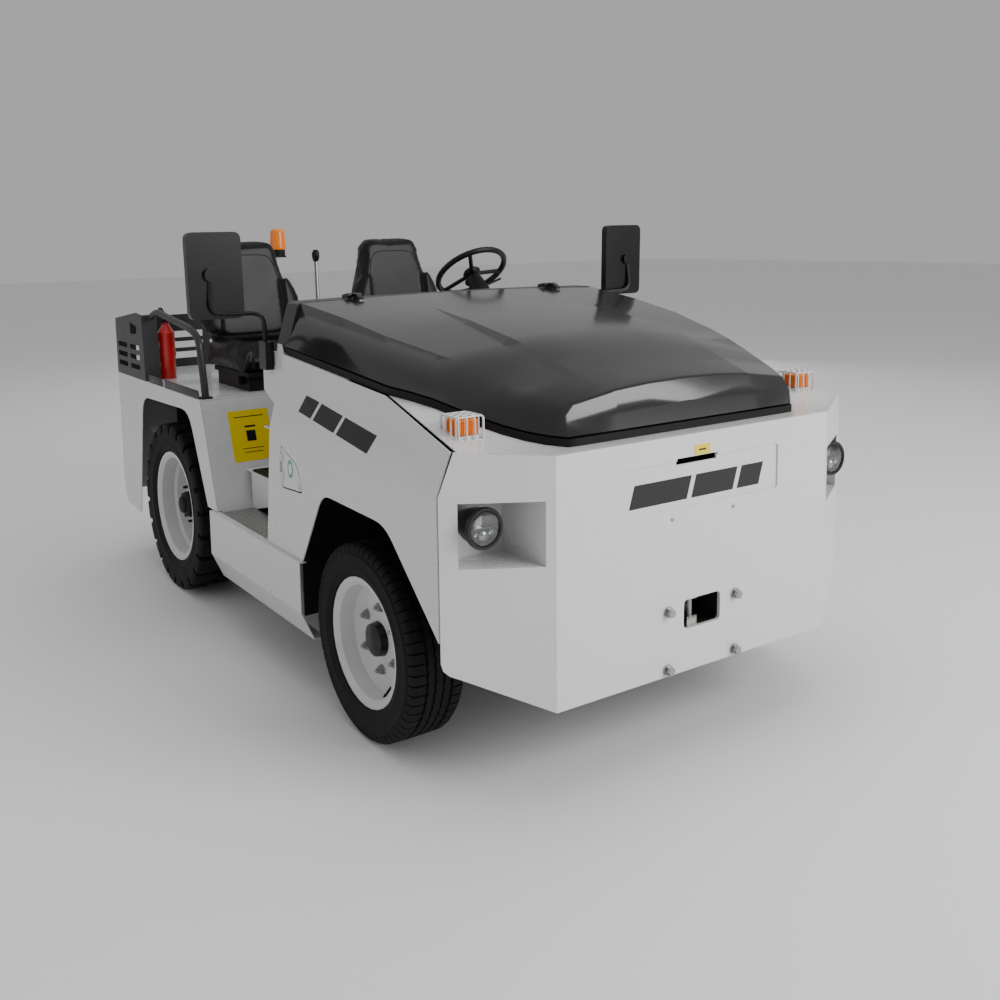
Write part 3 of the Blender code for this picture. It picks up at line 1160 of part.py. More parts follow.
def seat_back(name, centre):
    """A seat back that leans to the rear and narrows to a rounded top."""
    low, high = CUSHION_HIGH - 0.06, 1.70
    station = SEAT_FRONT + 0.425
    profile = [(0.195, low, 0.02), (0.255, low + 0.10, 0.04), (0.262, low + 0.24, 0.05),
               (0.205, low + 0.40, 0.06),
               (0.172, high, 0.07)]
    outline = outline_with_corners([(centre + x, z, r) for x, z, r in profile]
                                   + [(centre - x, z, r) for x, z, r in reversed(profile)])
    base = shear(prism(outline, "y", station + 0.012, station + 0.105), low, BACK_LEAN)
    joins = []
    for sign in (-1, 1):
        side = [(0.258, low + 0.10, 0.02), (0.262, low + 0.24, 0.03), (0.215, low + 0.36, 0.02),
                (0.165, low + 0.34, 0.02),
                (0.165, low + 0.08, 0.03)]
        wing = outline_with_corners([(centre + sign * x, z, r) for x, z, r in side])
        joins.append(shear(prism(wing, "y", station - 0.022, station + 0.05), low, BACK_LEAN))
    notch = box((centre - 0.30, SEAT_FRONT, CUSHION_LOW - 0.05),
                (centre + 0.30, SEAT_FRONT + 0.50 + GAP, CUSHION_HIGH + GAP))
    return assemble(name, "seat_vinyl", base, joins, [notch])


def park_brake_lever():
    """The parking brake lever between the seats, with its slotted base and knob."""
    x, station = -0.12, 2.50
    base = box((x - 0.035, station - 0.08, DECK_Z + GAP), (x + 0.035, station + 0.08, DECK_Z + 0.055))
    bar = rod((x, station, DECK_Z + 0.03), (x, station + 0.02, 1.60), 0.009, 10)
    knob = turned([(0, 0), (0, 0.012), (0.02, 0.019), (0.045, 0.019), (0.06, 0.010), (0.06, 0)],
                  (x, station + 0.019, 1.58), (0, 0.03, 1), 14)
    return assemble("park_brake_lever", "moulded_black", base, [bar, knob])


def beacon():
    """The warning beacon on its post behind the seats."""
    post_station = BEACON_STATION + 0.105
    top = BEACON_TOP
    base = box((-0.04, post_station - 0.04, DECK_Z + GAP), (0.04, post_station + 0.028, DECK_Z + 0.009))
    post = rod((0, post_station, DECK_Z + 0.004), (0, post_station, top - 0.150), 0.0125, 12)
    bracket = box((-0.03, BEACON_STATION - 0.045, top - 0.160), (0.03, post_station + 0.02, top - 0.150))
    foot = rod((0, BEACON_STATION, top - 0.152), (0, BEACON_STATION, top - 0.116), 0.040, 20)
    lens = turned([(0, 0), (0, 0.043), (0.010, 0.046), (0.104, 0.040), (0.1165, 0.030), (0.1165, 0)],
                  (0, BEACON_STATION, top - 0.1165), (0, 0, 1), 20)
    return assemble("beacon", "amber_lens", base, [post, bracket, foot, lens])


def mirror(name, sign):
    """A door mirror: clamp on the cowl's side plate, bent arm and a tall head."""
    clamp = box((sign * (0.827 + GAP), 1.468, 1.195), (sign * 0.862, 1.532, 1.305))
    arm = tube([(sign * 0.847, 1.50, 1.25), (sign * 0.850, 1.50, 1.417), (sign * 1.065, 1.50, 1.425),
                (sign * 1.058, 1.515, 1.570)], 0.0095, 0.05, 8)
    profile = [(sign * 0.922, 1.402, 0.03), (sign * 1.140, 1.402, 0.03), (sign * 1.146, 1.733, 0.03),
               (sign * 0.928, 1.733, 0.03)]
    head = prism(outline_with_corners(profile), "y", 1.512, 1.546)
    hub = rod((sign * 1.055, 1.497, 1.572), (sign * 1.055, 1.53, 1.572), 0.028, 16)
    return assemble(name, "moulded_black", head, [arm, hub, clamp])


def fire_extinguisher():
    """The fire extinguisher standing on the deck in front of the right guard, in its bracket."""
    x, station = -0.770, 2.955
    profile = [(0, 0), (0, 0.043), (0.235, 0.043), (0.268, 0.022), (0.285, 0.016), (0.305, 0.016), (0.305, 0)]
    base = turned(profile, (x, station, DECK_Z + GAP), (0, 0, 1), 20)
    handle = prism([(station - 0.03, 1.285), (station + 0.075, 1.345), (station + 0.075, 1.357),
                    (station - 0.03, 1.305)],
                   "x", x - 0.010, x + 0.010)
    strap = turned([(0.115, 0.030), (0.115, 0.0465), (0.140, 0.0465), (0.140, 0.030)], (x, station, DECK_Z),
                   (0, 0, 1), 20)
    return assemble("fire_extinguisher", "red_paint", base, [handle, strap])


def main():
    """Build every node of the tow tractor."""
    clear_scene()
    front_plate()
    front_ledge()
    charge_flap()
    charge_socket()
    chassis_frame()
    floor_plate()
    seat_riser()
    rear_deck()
    rear_compartment()
    rear_plate()
    rear_guard()
    front_axle()
    rear_axle()
    tie_rod()
    battery_block()
    front_hitch()
    rear_hitch()
    hood()
    hood_seal()
    cowl_arch()
    dashboard()
    steering_column()
    steering_wheel()
    park_brake_lever()
    beacon()
    fire_extinguisher()
    for side, sign in SIDES.items():
        front_side(f"front_side_{side}", sign)
        wheel_housing(f"wheel_housing_{side}", sign)
        sill(f"sill_{side}", sign)
        rear_side(f"rear_side_{side}", sign)
        handrail(f"handrail_{side}", sign)
        cowl_side(f"cowl_side_{side}", sign)
        knuckle(f"knuckle_{side}", sign)
        front_rim(f"front_rim_{side}", sign)
        tyre(f"front_tyre_{side}", sign, FRONT_AXLE, FRONT_RADIUS, FRONT_TYRE_WIDTH, FRONT_FLANGE)
        rear_rim(f"rear_rim_{side}", sign)
        tyre(f"rear_tyre_{side}", sign, REAR_AXLE, REAR_RADIUS, REAR_TYRE_WIDTH, REAR_FLANGE)
        headlight(f"headlight_{side}", sign)
        corner_lamp(f"corner_lamp_{side}", sign)
        mirror(f"mirror_{side}", sign)
    for role, sign in (("passenger", -1), ("driver", 1)):
        seat_base(f"{role}_seat_base", sign * SEAT_X)
        seat_cushion(f"{role}_seat_cushion", sign * SEAT_X)
        seat_back(f"{role}_seat_back", sign * SEAT_X)


main()
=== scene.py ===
"""Looks of the electric airport tow tractor: finishes, fine pieces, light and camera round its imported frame."""

import json
import logging
import math
from dataclasses import dataclass
from enum import Enum
from typing import Callable, Iterable, Sequence

import bmesh
import bpy
from mathutils import Matrix, Vector
from mathutils.bvhtree import BVHTree

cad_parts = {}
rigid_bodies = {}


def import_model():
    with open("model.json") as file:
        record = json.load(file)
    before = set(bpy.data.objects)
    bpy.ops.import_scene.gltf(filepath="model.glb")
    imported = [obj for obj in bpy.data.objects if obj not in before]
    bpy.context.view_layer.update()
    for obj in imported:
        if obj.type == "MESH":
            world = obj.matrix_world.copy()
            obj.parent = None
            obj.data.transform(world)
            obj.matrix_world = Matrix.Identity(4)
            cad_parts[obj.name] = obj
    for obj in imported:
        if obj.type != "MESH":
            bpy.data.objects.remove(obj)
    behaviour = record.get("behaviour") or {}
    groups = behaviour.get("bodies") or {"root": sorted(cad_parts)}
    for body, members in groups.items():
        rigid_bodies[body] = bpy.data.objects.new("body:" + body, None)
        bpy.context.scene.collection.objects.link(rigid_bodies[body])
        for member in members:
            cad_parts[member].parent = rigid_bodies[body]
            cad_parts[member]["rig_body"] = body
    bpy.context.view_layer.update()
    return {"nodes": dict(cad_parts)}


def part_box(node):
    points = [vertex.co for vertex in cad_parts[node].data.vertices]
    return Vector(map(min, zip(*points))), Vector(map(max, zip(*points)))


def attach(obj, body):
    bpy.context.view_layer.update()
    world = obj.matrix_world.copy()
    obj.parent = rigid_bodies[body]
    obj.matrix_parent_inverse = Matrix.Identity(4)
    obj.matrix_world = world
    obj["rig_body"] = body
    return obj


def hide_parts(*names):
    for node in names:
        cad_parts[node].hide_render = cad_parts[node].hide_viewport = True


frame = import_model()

log = logging.getLogger("tow_tractor")
logging.basicConfig(level=logging.INFO, format="%(message)s")

MIDDLE = 1.739  # from the front plate's face back to the middle of the overall box
GLYPH_LAYER = 0.0009  # how far a second printed layer stands over its surface
WELD = 4e-5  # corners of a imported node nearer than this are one
Colour = tuple[float, float, float]
Point = tuple[float, float, float]
Socket = bpy.types.NodeSocket
Shell = bmesh.types.BMesh


class Side(Enum):
    """The vehicle's two sides, as the sign of their X."""

    RIGHT = -1
    LEFT = 1

    @property
    def label(self) -> str:
        """The side's name as the nodes spell it."""
        return self.name.lower()


def at(x: float, station: float, z: float) -> Vector:
    """World point of an X, a distance behind the front plate's face, and a height."""
    return Vector((x, station - MIDDLE, z))


# ---------------------------------------------------------------- shader groups


def new_group(name: str, inputs: Sequence[tuple[str, str, float]],
              outputs: Sequence[tuple[str, str]]) -> bpy.types.NodeTree:
    """Start a shader node group.

    Args:
        name: The group's name.
        inputs: Each input's name, socket type and default number.
        outputs: Each output's name and socket type.

    Returns:
        The empty group, with its input and output nodes.
    """
    tree = bpy.data.node_groups.new(name, "ShaderNodeTree")
    for label, kind, default in inputs:
        socket = tree.interface.new_socket(name=label, in_out="INPUT", socket_type=kind)
        socket.default_value = default
    for label, kind in outputs:
        tree.interface.new_socket(name=label, in_out="OUTPUT", socket_type=kind)
    tree.nodes.new("NodeGroupInput").name = "in"
    tree.nodes.new("NodeGroupOutput").name = "out"
    return tree


def number(tree: bpy.types.NodeTree, operation: str, first: Socket | float, second: Socket | float,
           clamp: bool = False) -> Socket:
    """Add a Math node.

    Args:
        tree: The node tree it goes in.
        operation: The node's operation.
        first: The first number, or the socket that gives it.
        second: The second number, or the socket that gives it.
        clamp: Whether the result stays between 0 and 1.

    Returns:
        The socket of the result.
    """
    node = tree.nodes.new("ShaderNodeMath")
    node.operation = operation
    node.use_clamp = clamp
    for socket, value in zip(node.inputs, (first, second)):
        if isinstance(value, Socket):
            tree.links.new(value, socket)
        else:
            socket.default_value = value
    return node.outputs[0]


def noise(tree: bpy.types.NodeTree, scale: Socket | float, detail: float = 3.0, rough: float = 0.5) -> Socket:
    """Add a Noise node on Object coordinates.

    Args:
        tree: The node tree it goes in.
        scale: The noise's scale, or the socket that gives it.
        detail: Its octaves.
        rough: How strong the finer octaves are.

    Returns:
        The socket of the noise's number.
    """
    where = tree.nodes.new("ShaderNodeTexCoord")
    node = tree.nodes.new("ShaderNodeTexNoise")
    node.inputs["Detail"].default_value = detail
    node.inputs["Roughness"].default_value = rough
    tree.links.new(where.outputs["Object"], node.inputs["Vector"])
    if isinstance(scale, Socket):
        tree.links.new(scale, node.inputs["Scale"])
    else:
        node.inputs["Scale"].default_value = scale
    return node.outputs["Fac"]


def bump(tree: bpy.types.NodeTree, height: Socket, distance: float, strength: float) -> Socket:
    """Add a Bump node.

    Args:
        tree: The node tree it goes in.
        height: The socket that gives the height.
        distance: The height of a step from 0 to 1, in metres.
        strength: How much of the bump shows.

    Returns:
        The socket of the bumped normal.
    """
    node = tree.nodes.new("ShaderNodeBump")
    node.inputs["Distance"].default_value = distance
    node.inputs["Strength"].default_value = strength
    tree.links.new(height, node.inputs["Height"])
    return node.outputs["Normal"]


def make_patina_group() -> bpy.types.NodeTree:
    """Slow shade and roughness changes with dust low on the vehicle.

    Returns:
        The group. It puts out a shade factor, a dust mask, a roughness and a fine height.
    """
    tree = new_group("patina", [("Scale", "NodeSocketFloat", 6.0), ("Rough Low", "NodeSocketFloat", 0.2),
                                ("Rough High", "NodeSocketFloat", 0.3), ("Dust", "NodeSocketFloat", 0.2)],
                     [("Shade", "NodeSocketFloat"), ("Dust", "NodeSocketFloat"),
                      ("Roughness", "NodeSocketFloat"), ("Height", "NodeSocketFloat")])
    given, out = tree.nodes["in"], tree.nodes["out"]
    slow = noise(tree, given.outputs["Scale"], 4.0, 0.55)
    fine = noise(tree, 190.0, 2.0, 0.5)
    spread = number(tree, "SUBTRACT", given.outputs["Rough High"], given.outputs["Rough Low"])
    rough = number(tree, "ADD", number(tree, "MULTIPLY", slow, spread), given.outputs["Rough Low"])
    where = tree.nodes.new("ShaderNodeTexCoord")
    parts = tree.nodes.new("ShaderNodeSeparateXYZ")
    tree.links.new(where.outputs["Object"], parts.inputs[0])
    low = number(tree, "SUBTRACT", 1.0, number(tree, "MULTIPLY", parts.outputs["Z"], 1.6), clamp=True)
    mottled = number(tree, "MULTIPLY", low, number(tree, "MULTIPLY", noise(tree, 14.0, 6.0, 0.65), 1.5), clamp=True)
    dust = number(tree, "MULTIPLY", mottled, given.outputs["Dust"], clamp=True)
    tree.links.new(slow, out.inputs["Shade"])
    tree.links.new(dust, out.inputs["Dust"])
    tree.links.new(number(tree, "ADD", rough, number(tree, "MULTIPLY", dust, 0.4)), out.inputs["Roughness"])
    tree.links.new(fine, out.inputs["Height"])
    return tree


def make_grain_group() -> bpy.types.NodeTree:
    """The pebbled grain of vinyl and moulded plastic.

    Returns:
        The group. It puts out a height and a shade factor.
    """
    tree = new_group("pebble_grain", [("Scale", "NodeSocketFloat", 420.0)],
                     [("Height", "NodeSocketFloat"), ("Shade", "NodeSocketFloat")])
    given, out = tree.nodes["in"], tree.nodes["out"]
    where = tree.nodes.new("ShaderNodeTexCoord")
    cells = tree.nodes.new("ShaderNodeTexVoronoi")
    cells.feature = "SMOOTH_F1"
    tree.links.new(where.outputs["Object"], cells.inputs["Vector"])
    tree.links.new(given.outputs["Scale"], cells.inputs["Scale"])
    tree.links.new(cells.outputs["Distance"], out.inputs["Height"])
    tree.links.new(noise(tree, 22.0, 4.0), out.inputs["Shade"])
    return tree


# ---------------------------------------------------------------- finishes


@dataclass(frozen=True)
class Finish:
    """A finish: one material with its colour, gloss and surface detail."""

    name: str
    slot: str
    colour: Colour
    rough: tuple[float, float] = (0.3, 0.4)
    metallic: float = 0.0
    coat: float = 0.0
    coat_rough: float = 0.05
    vary: float = 0.06
    dust: float = 0.0
    grain: float = 0.0
    grain_scale: float = 420.0
    ripple: float = 0.02
    specular: float = 0.5
    transmission: float = 0.0
    glow: float = 0.0

    def material(self) -> bpy.types.Material:
        """The material of this finish, made once.

        Returns:
            The material, with its nodes laid out.
        """
        found = bpy.data.materials.get(self.name)
        if found:
            return found
        made = bpy.data.materials.new(self.name)
        made.use_nodes = True
        tree = made.node_tree
        shader = tree.nodes["Principled BSDF"]
        self._constants(shader)
        patina = tree.nodes.new("ShaderNodeGroup")
        patina.node_tree = bpy.data.node_groups.get("patina") or make_patina_group()
        patina.inputs["Rough Low"].default_value = self.rough[0]
        patina.inputs["Rough High"].default_value = self.rough[1]
        patina.inputs["Dust"].default_value = self.dust
        tint = self._mix(tree, patina.outputs["Shade"], self.shade(1 - self.vary), self.shade(1 + self.vary))
        dusty = self._mix(tree, patina.outputs["Dust"], tint, (0.34, 0.32, 0.29, 1))
        tree.links.new(dusty, shader.inputs["Base Color"])
        tree.links.new(patina.outputs["Roughness"], shader.inputs["Roughness"])
        height, reach, strength = patina.outputs["Height"], 0.0004, self.ripple
        if self.grain:
            grain = tree.nodes.new("ShaderNodeGroup")
            grain.node_tree = bpy.data.node_groups.get("pebble_grain") or make_grain_group()
            grain.inputs["Scale"].default_value = self.grain_scale
            height, reach, strength = grain.outputs["Height"], 0.0006, self.grain
        tree.links.new(bump(tree, height, reach, strength), shader.inputs["Normal"])
        return made

    def shade(self, factor: float) -> tuple[float, float, float, float]:
        """The finish's colour, made lighter or darker by this factor."""
        red, green, blue = (min(value * factor, 1.0) for value in self.colour)
        return (red, green, blue, 1.0)

    def _constants(self, shader: bpy.types.Node) -> None:
        """Set what is the same all over the surface on the shader's own sockets.

        Args:
            shader: The Principled shader.
        """
        for socket, value in (("Metallic", self.metallic), ("Coat Weight", self.coat),
                              ("Coat Roughness", self.coat_rough), ("Specular IOR Level", self.specular),
                              ("Transmission Weight", self.transmission)):
            shader.inputs[socket].default_value = value
        if self.glow:
            shader.inputs["Emission Color"].default_value = (*self.colour, 1.0)
            shader.inputs["Emission Strength"].default_value = self.glow

    @staticmethod
    def _mix(tree: bpy.types.NodeTree, factor: Socket, first: Socket | Sequence[float],
             second: Socket | Sequence[float]) -> Socket:
        """Add a colour mix.

        Args:
            tree: The node tree it goes in.
            factor: The socket that gives the share of the second colour.
            first: The first colour, or the socket that gives it.
            second: The second colour, or the socket that gives it.

        Returns:
            The socket of the mixed colour.
        """
        node = tree.nodes.new("ShaderNodeMix")
        node.data_type = "RGBA"
        tree.links.new(factor, node.inputs[0])
        for socket, value in ((node.inputs[6], first), (node.inputs[7], second)):
            if isinstance(value, Socket):
                tree.links.new(value, socket)
            else:
                socket.default_value = value
        return node.outputs[2]


WHITE = Finish("white_enamel", "body_white", (0.66, 0.665, 0.665), (0.22, 0.34), coat=0.6,
               coat_rough=0.08, vary=0.02, dust=0.10)
WHITE_RIM = Finish("white_wheel_enamel", "body_white", (0.62, 0.625, 0.62), (0.30, 0.45), coat=0.3,
                   vary=0.04, dust=0.22)
CHARCOAL = Finish("charcoal_gloss", "hood_grey", (0.013, 0.0135, 0.0145), (0.16, 0.24), coat=0.45,
                  coat_rough=0.10, vary=0.08, specular=0.35)
GUARD = Finish("guard_enamel", "guard_grey", (0.026, 0.0265, 0.028), (0.36, 0.48), coat=0.1,
               coat_rough=0.25, vary=0.10, ripple=0.06, specular=0.35)
CHASSIS = Finish("chassis_enamel", "chassis_black", (0.006, 0.006, 0.006), (0.48, 0.64), vary=0.2,
                 dust=0.08, ripple=0.08, specular=0.25)
SEAL = Finish("black_seal", "seal_rubber", (0.004, 0.004, 0.004), (0.5, 0.62), vary=0.1, specular=0.25)
TYRE = Finish("tyre_rubber_black", "tyre_rubber", (0.0045, 0.0045, 0.0046), (0.62, 0.80), vary=0.22,
              dust=0.03, grain=0.15, grain_scale=700, specular=0.22)
VINYL = Finish("seat_vinyl_black", "seat_vinyl", (0.0045, 0.0045, 0.005), (0.36, 0.48), vary=0.14,
               grain=0.30, grain_scale=480, specular=0.30)
PIPING = Finish("seat_seam_black", "seat_vinyl", (0.004, 0.004, 0.004), (0.45, 0.55), vary=0.1,
                specular=0.3)
PLASTIC = Finish("moulded_plastic_black", "moulded_black", (0.005, 0.005, 0.0055), (0.42, 0.54),
                 vary=0.1, grain=0.22, grain_scale=900, specular=0.28)
GLOSSY_PLASTIC = Finish("glossy_plastic_black", "moulded_black", (0.004, 0.004, 0.0045), (0.24, 0.34),
                        coat=0.15, vary=0.05, specular=0.3)
STEEL = Finish("plated_steel", "cast_grey", (0.34, 0.34, 0.33), (0.26, 0.40), metallic=1.0, vary=0.12,
               ripple=0.08)
TREAD_STEEL = Finish("tread_plate_steel", "cast_grey", (0.40, 0.40, 0.395), (0.34, 0.5), metallic=0.9,
                     vary=0.15, ripple=0.1)
CHROME = Finish("bright_chrome", "cast_grey", (0.80, 0.80, 0.80), (0.05, 0.10), metallic=1.0, vary=0.02)
AMBER = Finish("amber_lens", "amber_lens", (0.72, 0.105, 0.004), (0.12, 0.2), coat=0.5, vary=0.25,
               glow=0.02)
RED = Finish("red_enamel", "red_paint", (0.52, 0.010, 0.010), (0.20, 0.3), coat=0.6, vary=0.05)
YELLOW = Finish("yellow_label", "body_white", (0.83, 0.62, 0.010), (0.30, 0.4), coat=0.2, vary=0.03)
INK = Finish("dark_ink", "moulded_black", (0.010, 0.0105, 0.012), (0.34, 0.44), coat=0.1, vary=0.05,
             specular=0.3)
LABEL_WHITE = Finish("white_label", "body_white", (0.80, 0.80, 0.79), (0.35, 0.45), vary=0.02)
GREEN = Finish("green_emblem", "body_white", (0.012, 0.33, 0.12), (0.3, 0.4), coat=0.3, vary=0.04)
CLEAR = Finish("lamp_glass_clear", "lamp_glass", (0.92, 0.94, 0.95), (0.02, 0.03), transmission=1.0,
               vary=0.0, ripple=0.0, specular=0.25)
REFLECTOR = Finish("lamp_reflector", "cast_grey", (0.26, 0.265, 0.28), (0.10, 0.18), metallic=1.0,
                   vary=0.05)
MAT = Finish("floor_mat_black", "seal_rubber", (0.005, 0.005, 0.005), (0.55, 0.7), vary=0.15, grain=0.3,
             grain_scale=300, specular=0.25)
SCREEN = Finish("instrument_screen", "lamp_glass", (0.02, 0.05, 0.06), (0.08, 0.12), coat=0.8, vary=0.02,
                glow=0.3)
CONCRETE = Finish("pale_floor", "body_white", (0.86, 0.86, 0.86), (0.55, 0.6), vary=0.004, ripple=0.0)

NODE_FINISH = {
    "front_plate": WHITE, "front_ledge": WHITE, "seat_riser": WHITE, "rear_plate": WHITE, "floor_plate": WHITE,
    "front_side_": WHITE, "cowl_side_": WHITE, "sill_": WHITE, "rear_side_": WHITE, "charge_flap": WHITE,
    "front_rim_": WHITE_RIM, "rear_rim_": WHITE_RIM, "hood_seal": SEAL, "hood": CHARCOAL, "cowl_arch": GUARD,
    "rear_guard": GUARD, "handrail_": GUARD, "rear_deck": WHITE, "chassis_frame": CHASSIS, "front_axle": CHASSIS,
    "rear_axle": CHASSIS, "battery_block": CHASSIS, "rear_compartment": CHASSIS, "wheel_housing_": CHASSIS,
    "knuckle_": CHASSIS, "tie_rod": CHASSIS, "front_hitch": STEEL, "rear_hitch": GUARD, "charge_socket": PLASTIC,
    "dashboard": PLASTIC, "steering_column": PLASTIC, "steering_wheel": PLASTIC, "mirror_": GLOSSY_PLASTIC,
    "park_brake_lever": STEEL, "fire_extinguisher": RED, "beacon": AMBER, "driver_seat_base": PLASTIC,
    "passenger_seat_base": PLASTIC, "corner_lamp_": AMBER, "headlight_": GLOSSY_PLASTIC,
}


def finish_of(node: str) -> Finish:
    """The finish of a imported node, by its name without the side."""
    stem = node.removesuffix("right").removesuffix("left")
    return NODE_FINISH.get(node) or NODE_FINISH.get(stem) or VINYL


# ---------------------------------------------------------------- shop tools


def settle(name: str, shell: Shell, finish: Finish, body: str, crease: float = 32.0,
           outward: bool = True) -> bpy.types.Object:
    """Turn a finished shell into a piece that rides on a body.

    Args:
        name: The piece's name.
        shell: Its shell, which is freed.
        finish: Its finish.
        body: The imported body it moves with.
        crease: Edges sharper than this angle, in degrees, stay sharp in the shading.
        outward: Whether its normals are turned outwards first.

    Returns:
        The piece.
    """
    bmesh.ops.remove_doubles(shell, verts=shell.verts[:], dist=1e-6)
    if outward:
        bmesh.ops.recalc_face_normals(shell, faces=shell.faces[:])
    mesh = bpy.data.meshes.new(name)
    shell.to_mesh(mesh)
    shell.free()
    mesh.shade_smooth()
    mesh.set_sharp_from_angle(angle=math.radians(crease))
    mesh.materials.append(finish.material())
    piece = bpy.data.objects.new(name, mesh)
    bpy.context.scene.collection.objects.link(piece)
    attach(piece, body)
    log.info("%s on %s", name, body)
    return piece


def surface_of(mesh: bpy.types.Mesh) -> BVHTree:
    """A mesh's faces, ready for ray casts and for the nearest point."""
    return BVHTree.FromPolygons([vert.co for vert in mesh.vertices], [face.vertices for face in mesh.polygons])


def soften(shell: Shell, edges: Iterable[bmesh.types.BMEdge], width: float, segments: int = 2) -> None:
    """Round some edges of a shell to this width."""
    bmesh.ops.bevel(shell, geom=list(edges), offset=width, offset_type="OFFSET", affect="EDGES", segments=segments,
                    profile=0.5, material=-1, clamp_overlap=True)


def sharp_edges(shell: Shell, degrees: float) -> list[bmesh.types.BMEdge]:
    """The edges of a shell between two faces that meet at more than this angle."""
    limit = math.radians(degrees)
    return [edge for edge in shell.edges if len(edge.link_faces) == 2 and edge.calc_face_angle(0.0) > limit]


def block(low: Sequence[float], high: Sequence[float], round_by: float = 0.0, segments: int = 2) -> Shell:
    """A block between two corners, its edges rounded.

    Args:
        low: The lowest corner.
        high: The highest corner.
        round_by: The width of the rounding.
        segments: Steps in the rounding.

    Returns:
        The block's shell.
    """
    shell = bmesh.new()
    bmesh.ops.create_cube(shell, size=1.0)
    low, high = Vector(low), Vector(high)
    bmesh.ops.scale(shell, vec=high - low, verts=shell.verts[:])
    bmesh.ops.translate(shell, vec=(low + high) / 2, verts=shell.verts[:])
    if round_by:
        soften(shell, shell.edges[:], round_by, segments)
    return shell


def frame_along(origin: Vector, direction: Vector, up: Vector = Vector((0, 0, 1))) -> Matrix:
    """A placement whose Z runs along a direction.

    Args:
        origin: Where it is.
        direction: The way of its Z.
        up: The way that its X stays near.

    Returns:
        The placement.
    """
    z = direction.normalized()
    helper = up if abs(z.dot(up)) < 0.98 else Vector((0, 1, 0))
    x = (helper - z * helper.dot(z)).normalized()
    y = z.cross(x)
    return Matrix.Translation(origin) @ Matrix((x, y, z)).transposed().to_4x4()


def turn(profile: Sequence[tuple[float, float]], origin: Vector, axis: Vector, steps: int = 48,
         angle: float = 2 * math.pi) -> Shell:
    """Spin a profile round an axis.

    Args:
        profile: (radius, distance along the axis) of each point.
        origin: A point on the axis.
        axis: The axis's direction.
        steps: Segments in the turn.
        angle: How far it turns.

    Returns:
        The turned shell.
    """
    shell = bmesh.new()
    place = frame_along(origin, axis)
    points = [shell.verts.new(place @ Vector((radius, 0, along))) for radius, along in profile]
    for first, second in zip(points, points[1:]):
        shell.edges.new((first, second))
    full = abs(angle) > 6.28  # a whole turn, whose ends are joined
    bmesh.ops.spin(shell, geom=shell.verts[:] + shell.edges[:], cent=origin, axis=axis.normalized(), dvec=(0, 0, 0),
                   angle=angle, steps=steps, use_merge=full, use_normal_flip=False, use_duplicate=False)
    bmesh.ops.remove_doubles(shell, verts=shell.verts[:], dist=2e-5)
    bmesh.ops.recalc_face_normals(shell, faces=shell.faces[:])
    return shell


def bar(route: Sequence[Vector], radius: float, sides: int = 10, closed: bool = False) -> Shell:
    """A round bar along a route.

    Args:
        route: The points its middle passes.
        radius: Its radius.
        sides: Sides of its section.
        closed: Whether it runs back to its start.

    Returns:
        The bar's shell, with its ends closed.
    """
    shell = bmesh.new()
    points = list(route)
    count = len(points)
    steps = []
    for index, point in enumerate(points):
        before = points[index - 1] if index or closed else point
        after = points[(index + 1) % count] if index < count - 1 or closed else point
        steps.append(after - before)
    frames = []
    up = Vector((0, 0, 1)) if abs(steps[0].normalized().z) < 0.9 else Vector((0, 1, 0))
    for point, step in zip(points, steps):
        frames.append(frame_along(point, step, up))
        up = frames[-1].to_3x3() @ Vector((1, 0, 0))
    bmesh.ops.create_circle(shell, cap_ends=False, radius=radius, segments=sides, matrix=frames[0])
    edges = list(shell.edges)
    for before, after in zip(frames, frames[1:]):
        made = bmesh.ops.extrude_edge_only(shell, edges=edges)["geom"]
        fresh = [item for item in made if isinstance(item, bmesh.types.BMVert)]
        edges = [item for item in made if isinstance(item, bmesh.types.BMEdge)]
        bmesh.ops.transform(shell, matrix=after @ before.inverted(), verts=fresh)
    ends = [edge for edge in shell.edges if edge.is_boundary]
    if closed:
        bmesh.ops.bridge_loops(shell, edges=ends)
    else:
        bmesh.ops.holes_fill(shell, edges=ends, sides=0)
    bmesh.ops.recalc_face_normals(shell, faces=shell.faces[:])
    return shell


def curved(route: Sequence[Vector], radius: float, steps: int = 5) -> list[Vector]:
    """A route with its inner corners rounded.

    Args:
        route: The corner points.
        radius: How far from each corner the rounding starts.
        steps: Points in each rounding.

    Returns:
        The rounded route.
    """
    points = [route[0]]
    for before, corner, after in zip(route, route[1:], route[2:]):
        start = corner + (before - corner).normalized() * min(radius, (before - corner).length * 0.48)
        end = corner + (after - corner).normalized() * min(radius, (after - corner).length * 0.48)
        for index in range(steps + 1):
            share = index / steps
            points.append((1 - share) ** 2 * start + 2 * share * (1 - share) * corner + share ** 2 * end)
    return points + [route[-1]]


def slab(outline: Sequence[Vector], push: Vector, round_by: float = 0.0, segments: int = 2) -> Shell:
    """A flat outline given a thickness.

    Args:
        outline: The outline's corners, in order.
        push: How far and which way it is extruded.
        round_by: Rounding of its edges.
        segments: Steps in the rounding.

    Returns:
        The slab's shell.
    """
    shell = bmesh.new()
    face = shell.faces.new([shell.verts.new(point) for point in outline])
    made = bmesh.ops.extrude_face_region(shell, geom=[face])["geom"]
    bmesh.ops.translate(shell, vec=push, verts=[item for item in made if isinstance(item, bmesh.types.BMVert)])
    bmesh.ops.recalc_face_normals(shell, faces=shell.faces[:])
    if round_by:
        soften(shell, sharp_edges(shell, 25), round_by, segments)
    return shell


def merge(target: Shell, *others: Shell) -> Shell:
    """Add other shells to a shell and free them.

    Args:
        target: The shell that grows.
        others: The shells that are added.

    Returns:
        The grown shell.
    """
    for other in others:
        spare = bpy.data.meshes.new("spare")
        other.to_mesh(spare)
        other.free()
        target.from_mesh(spare)
        bpy.data.meshes.remove(spare)
    return target


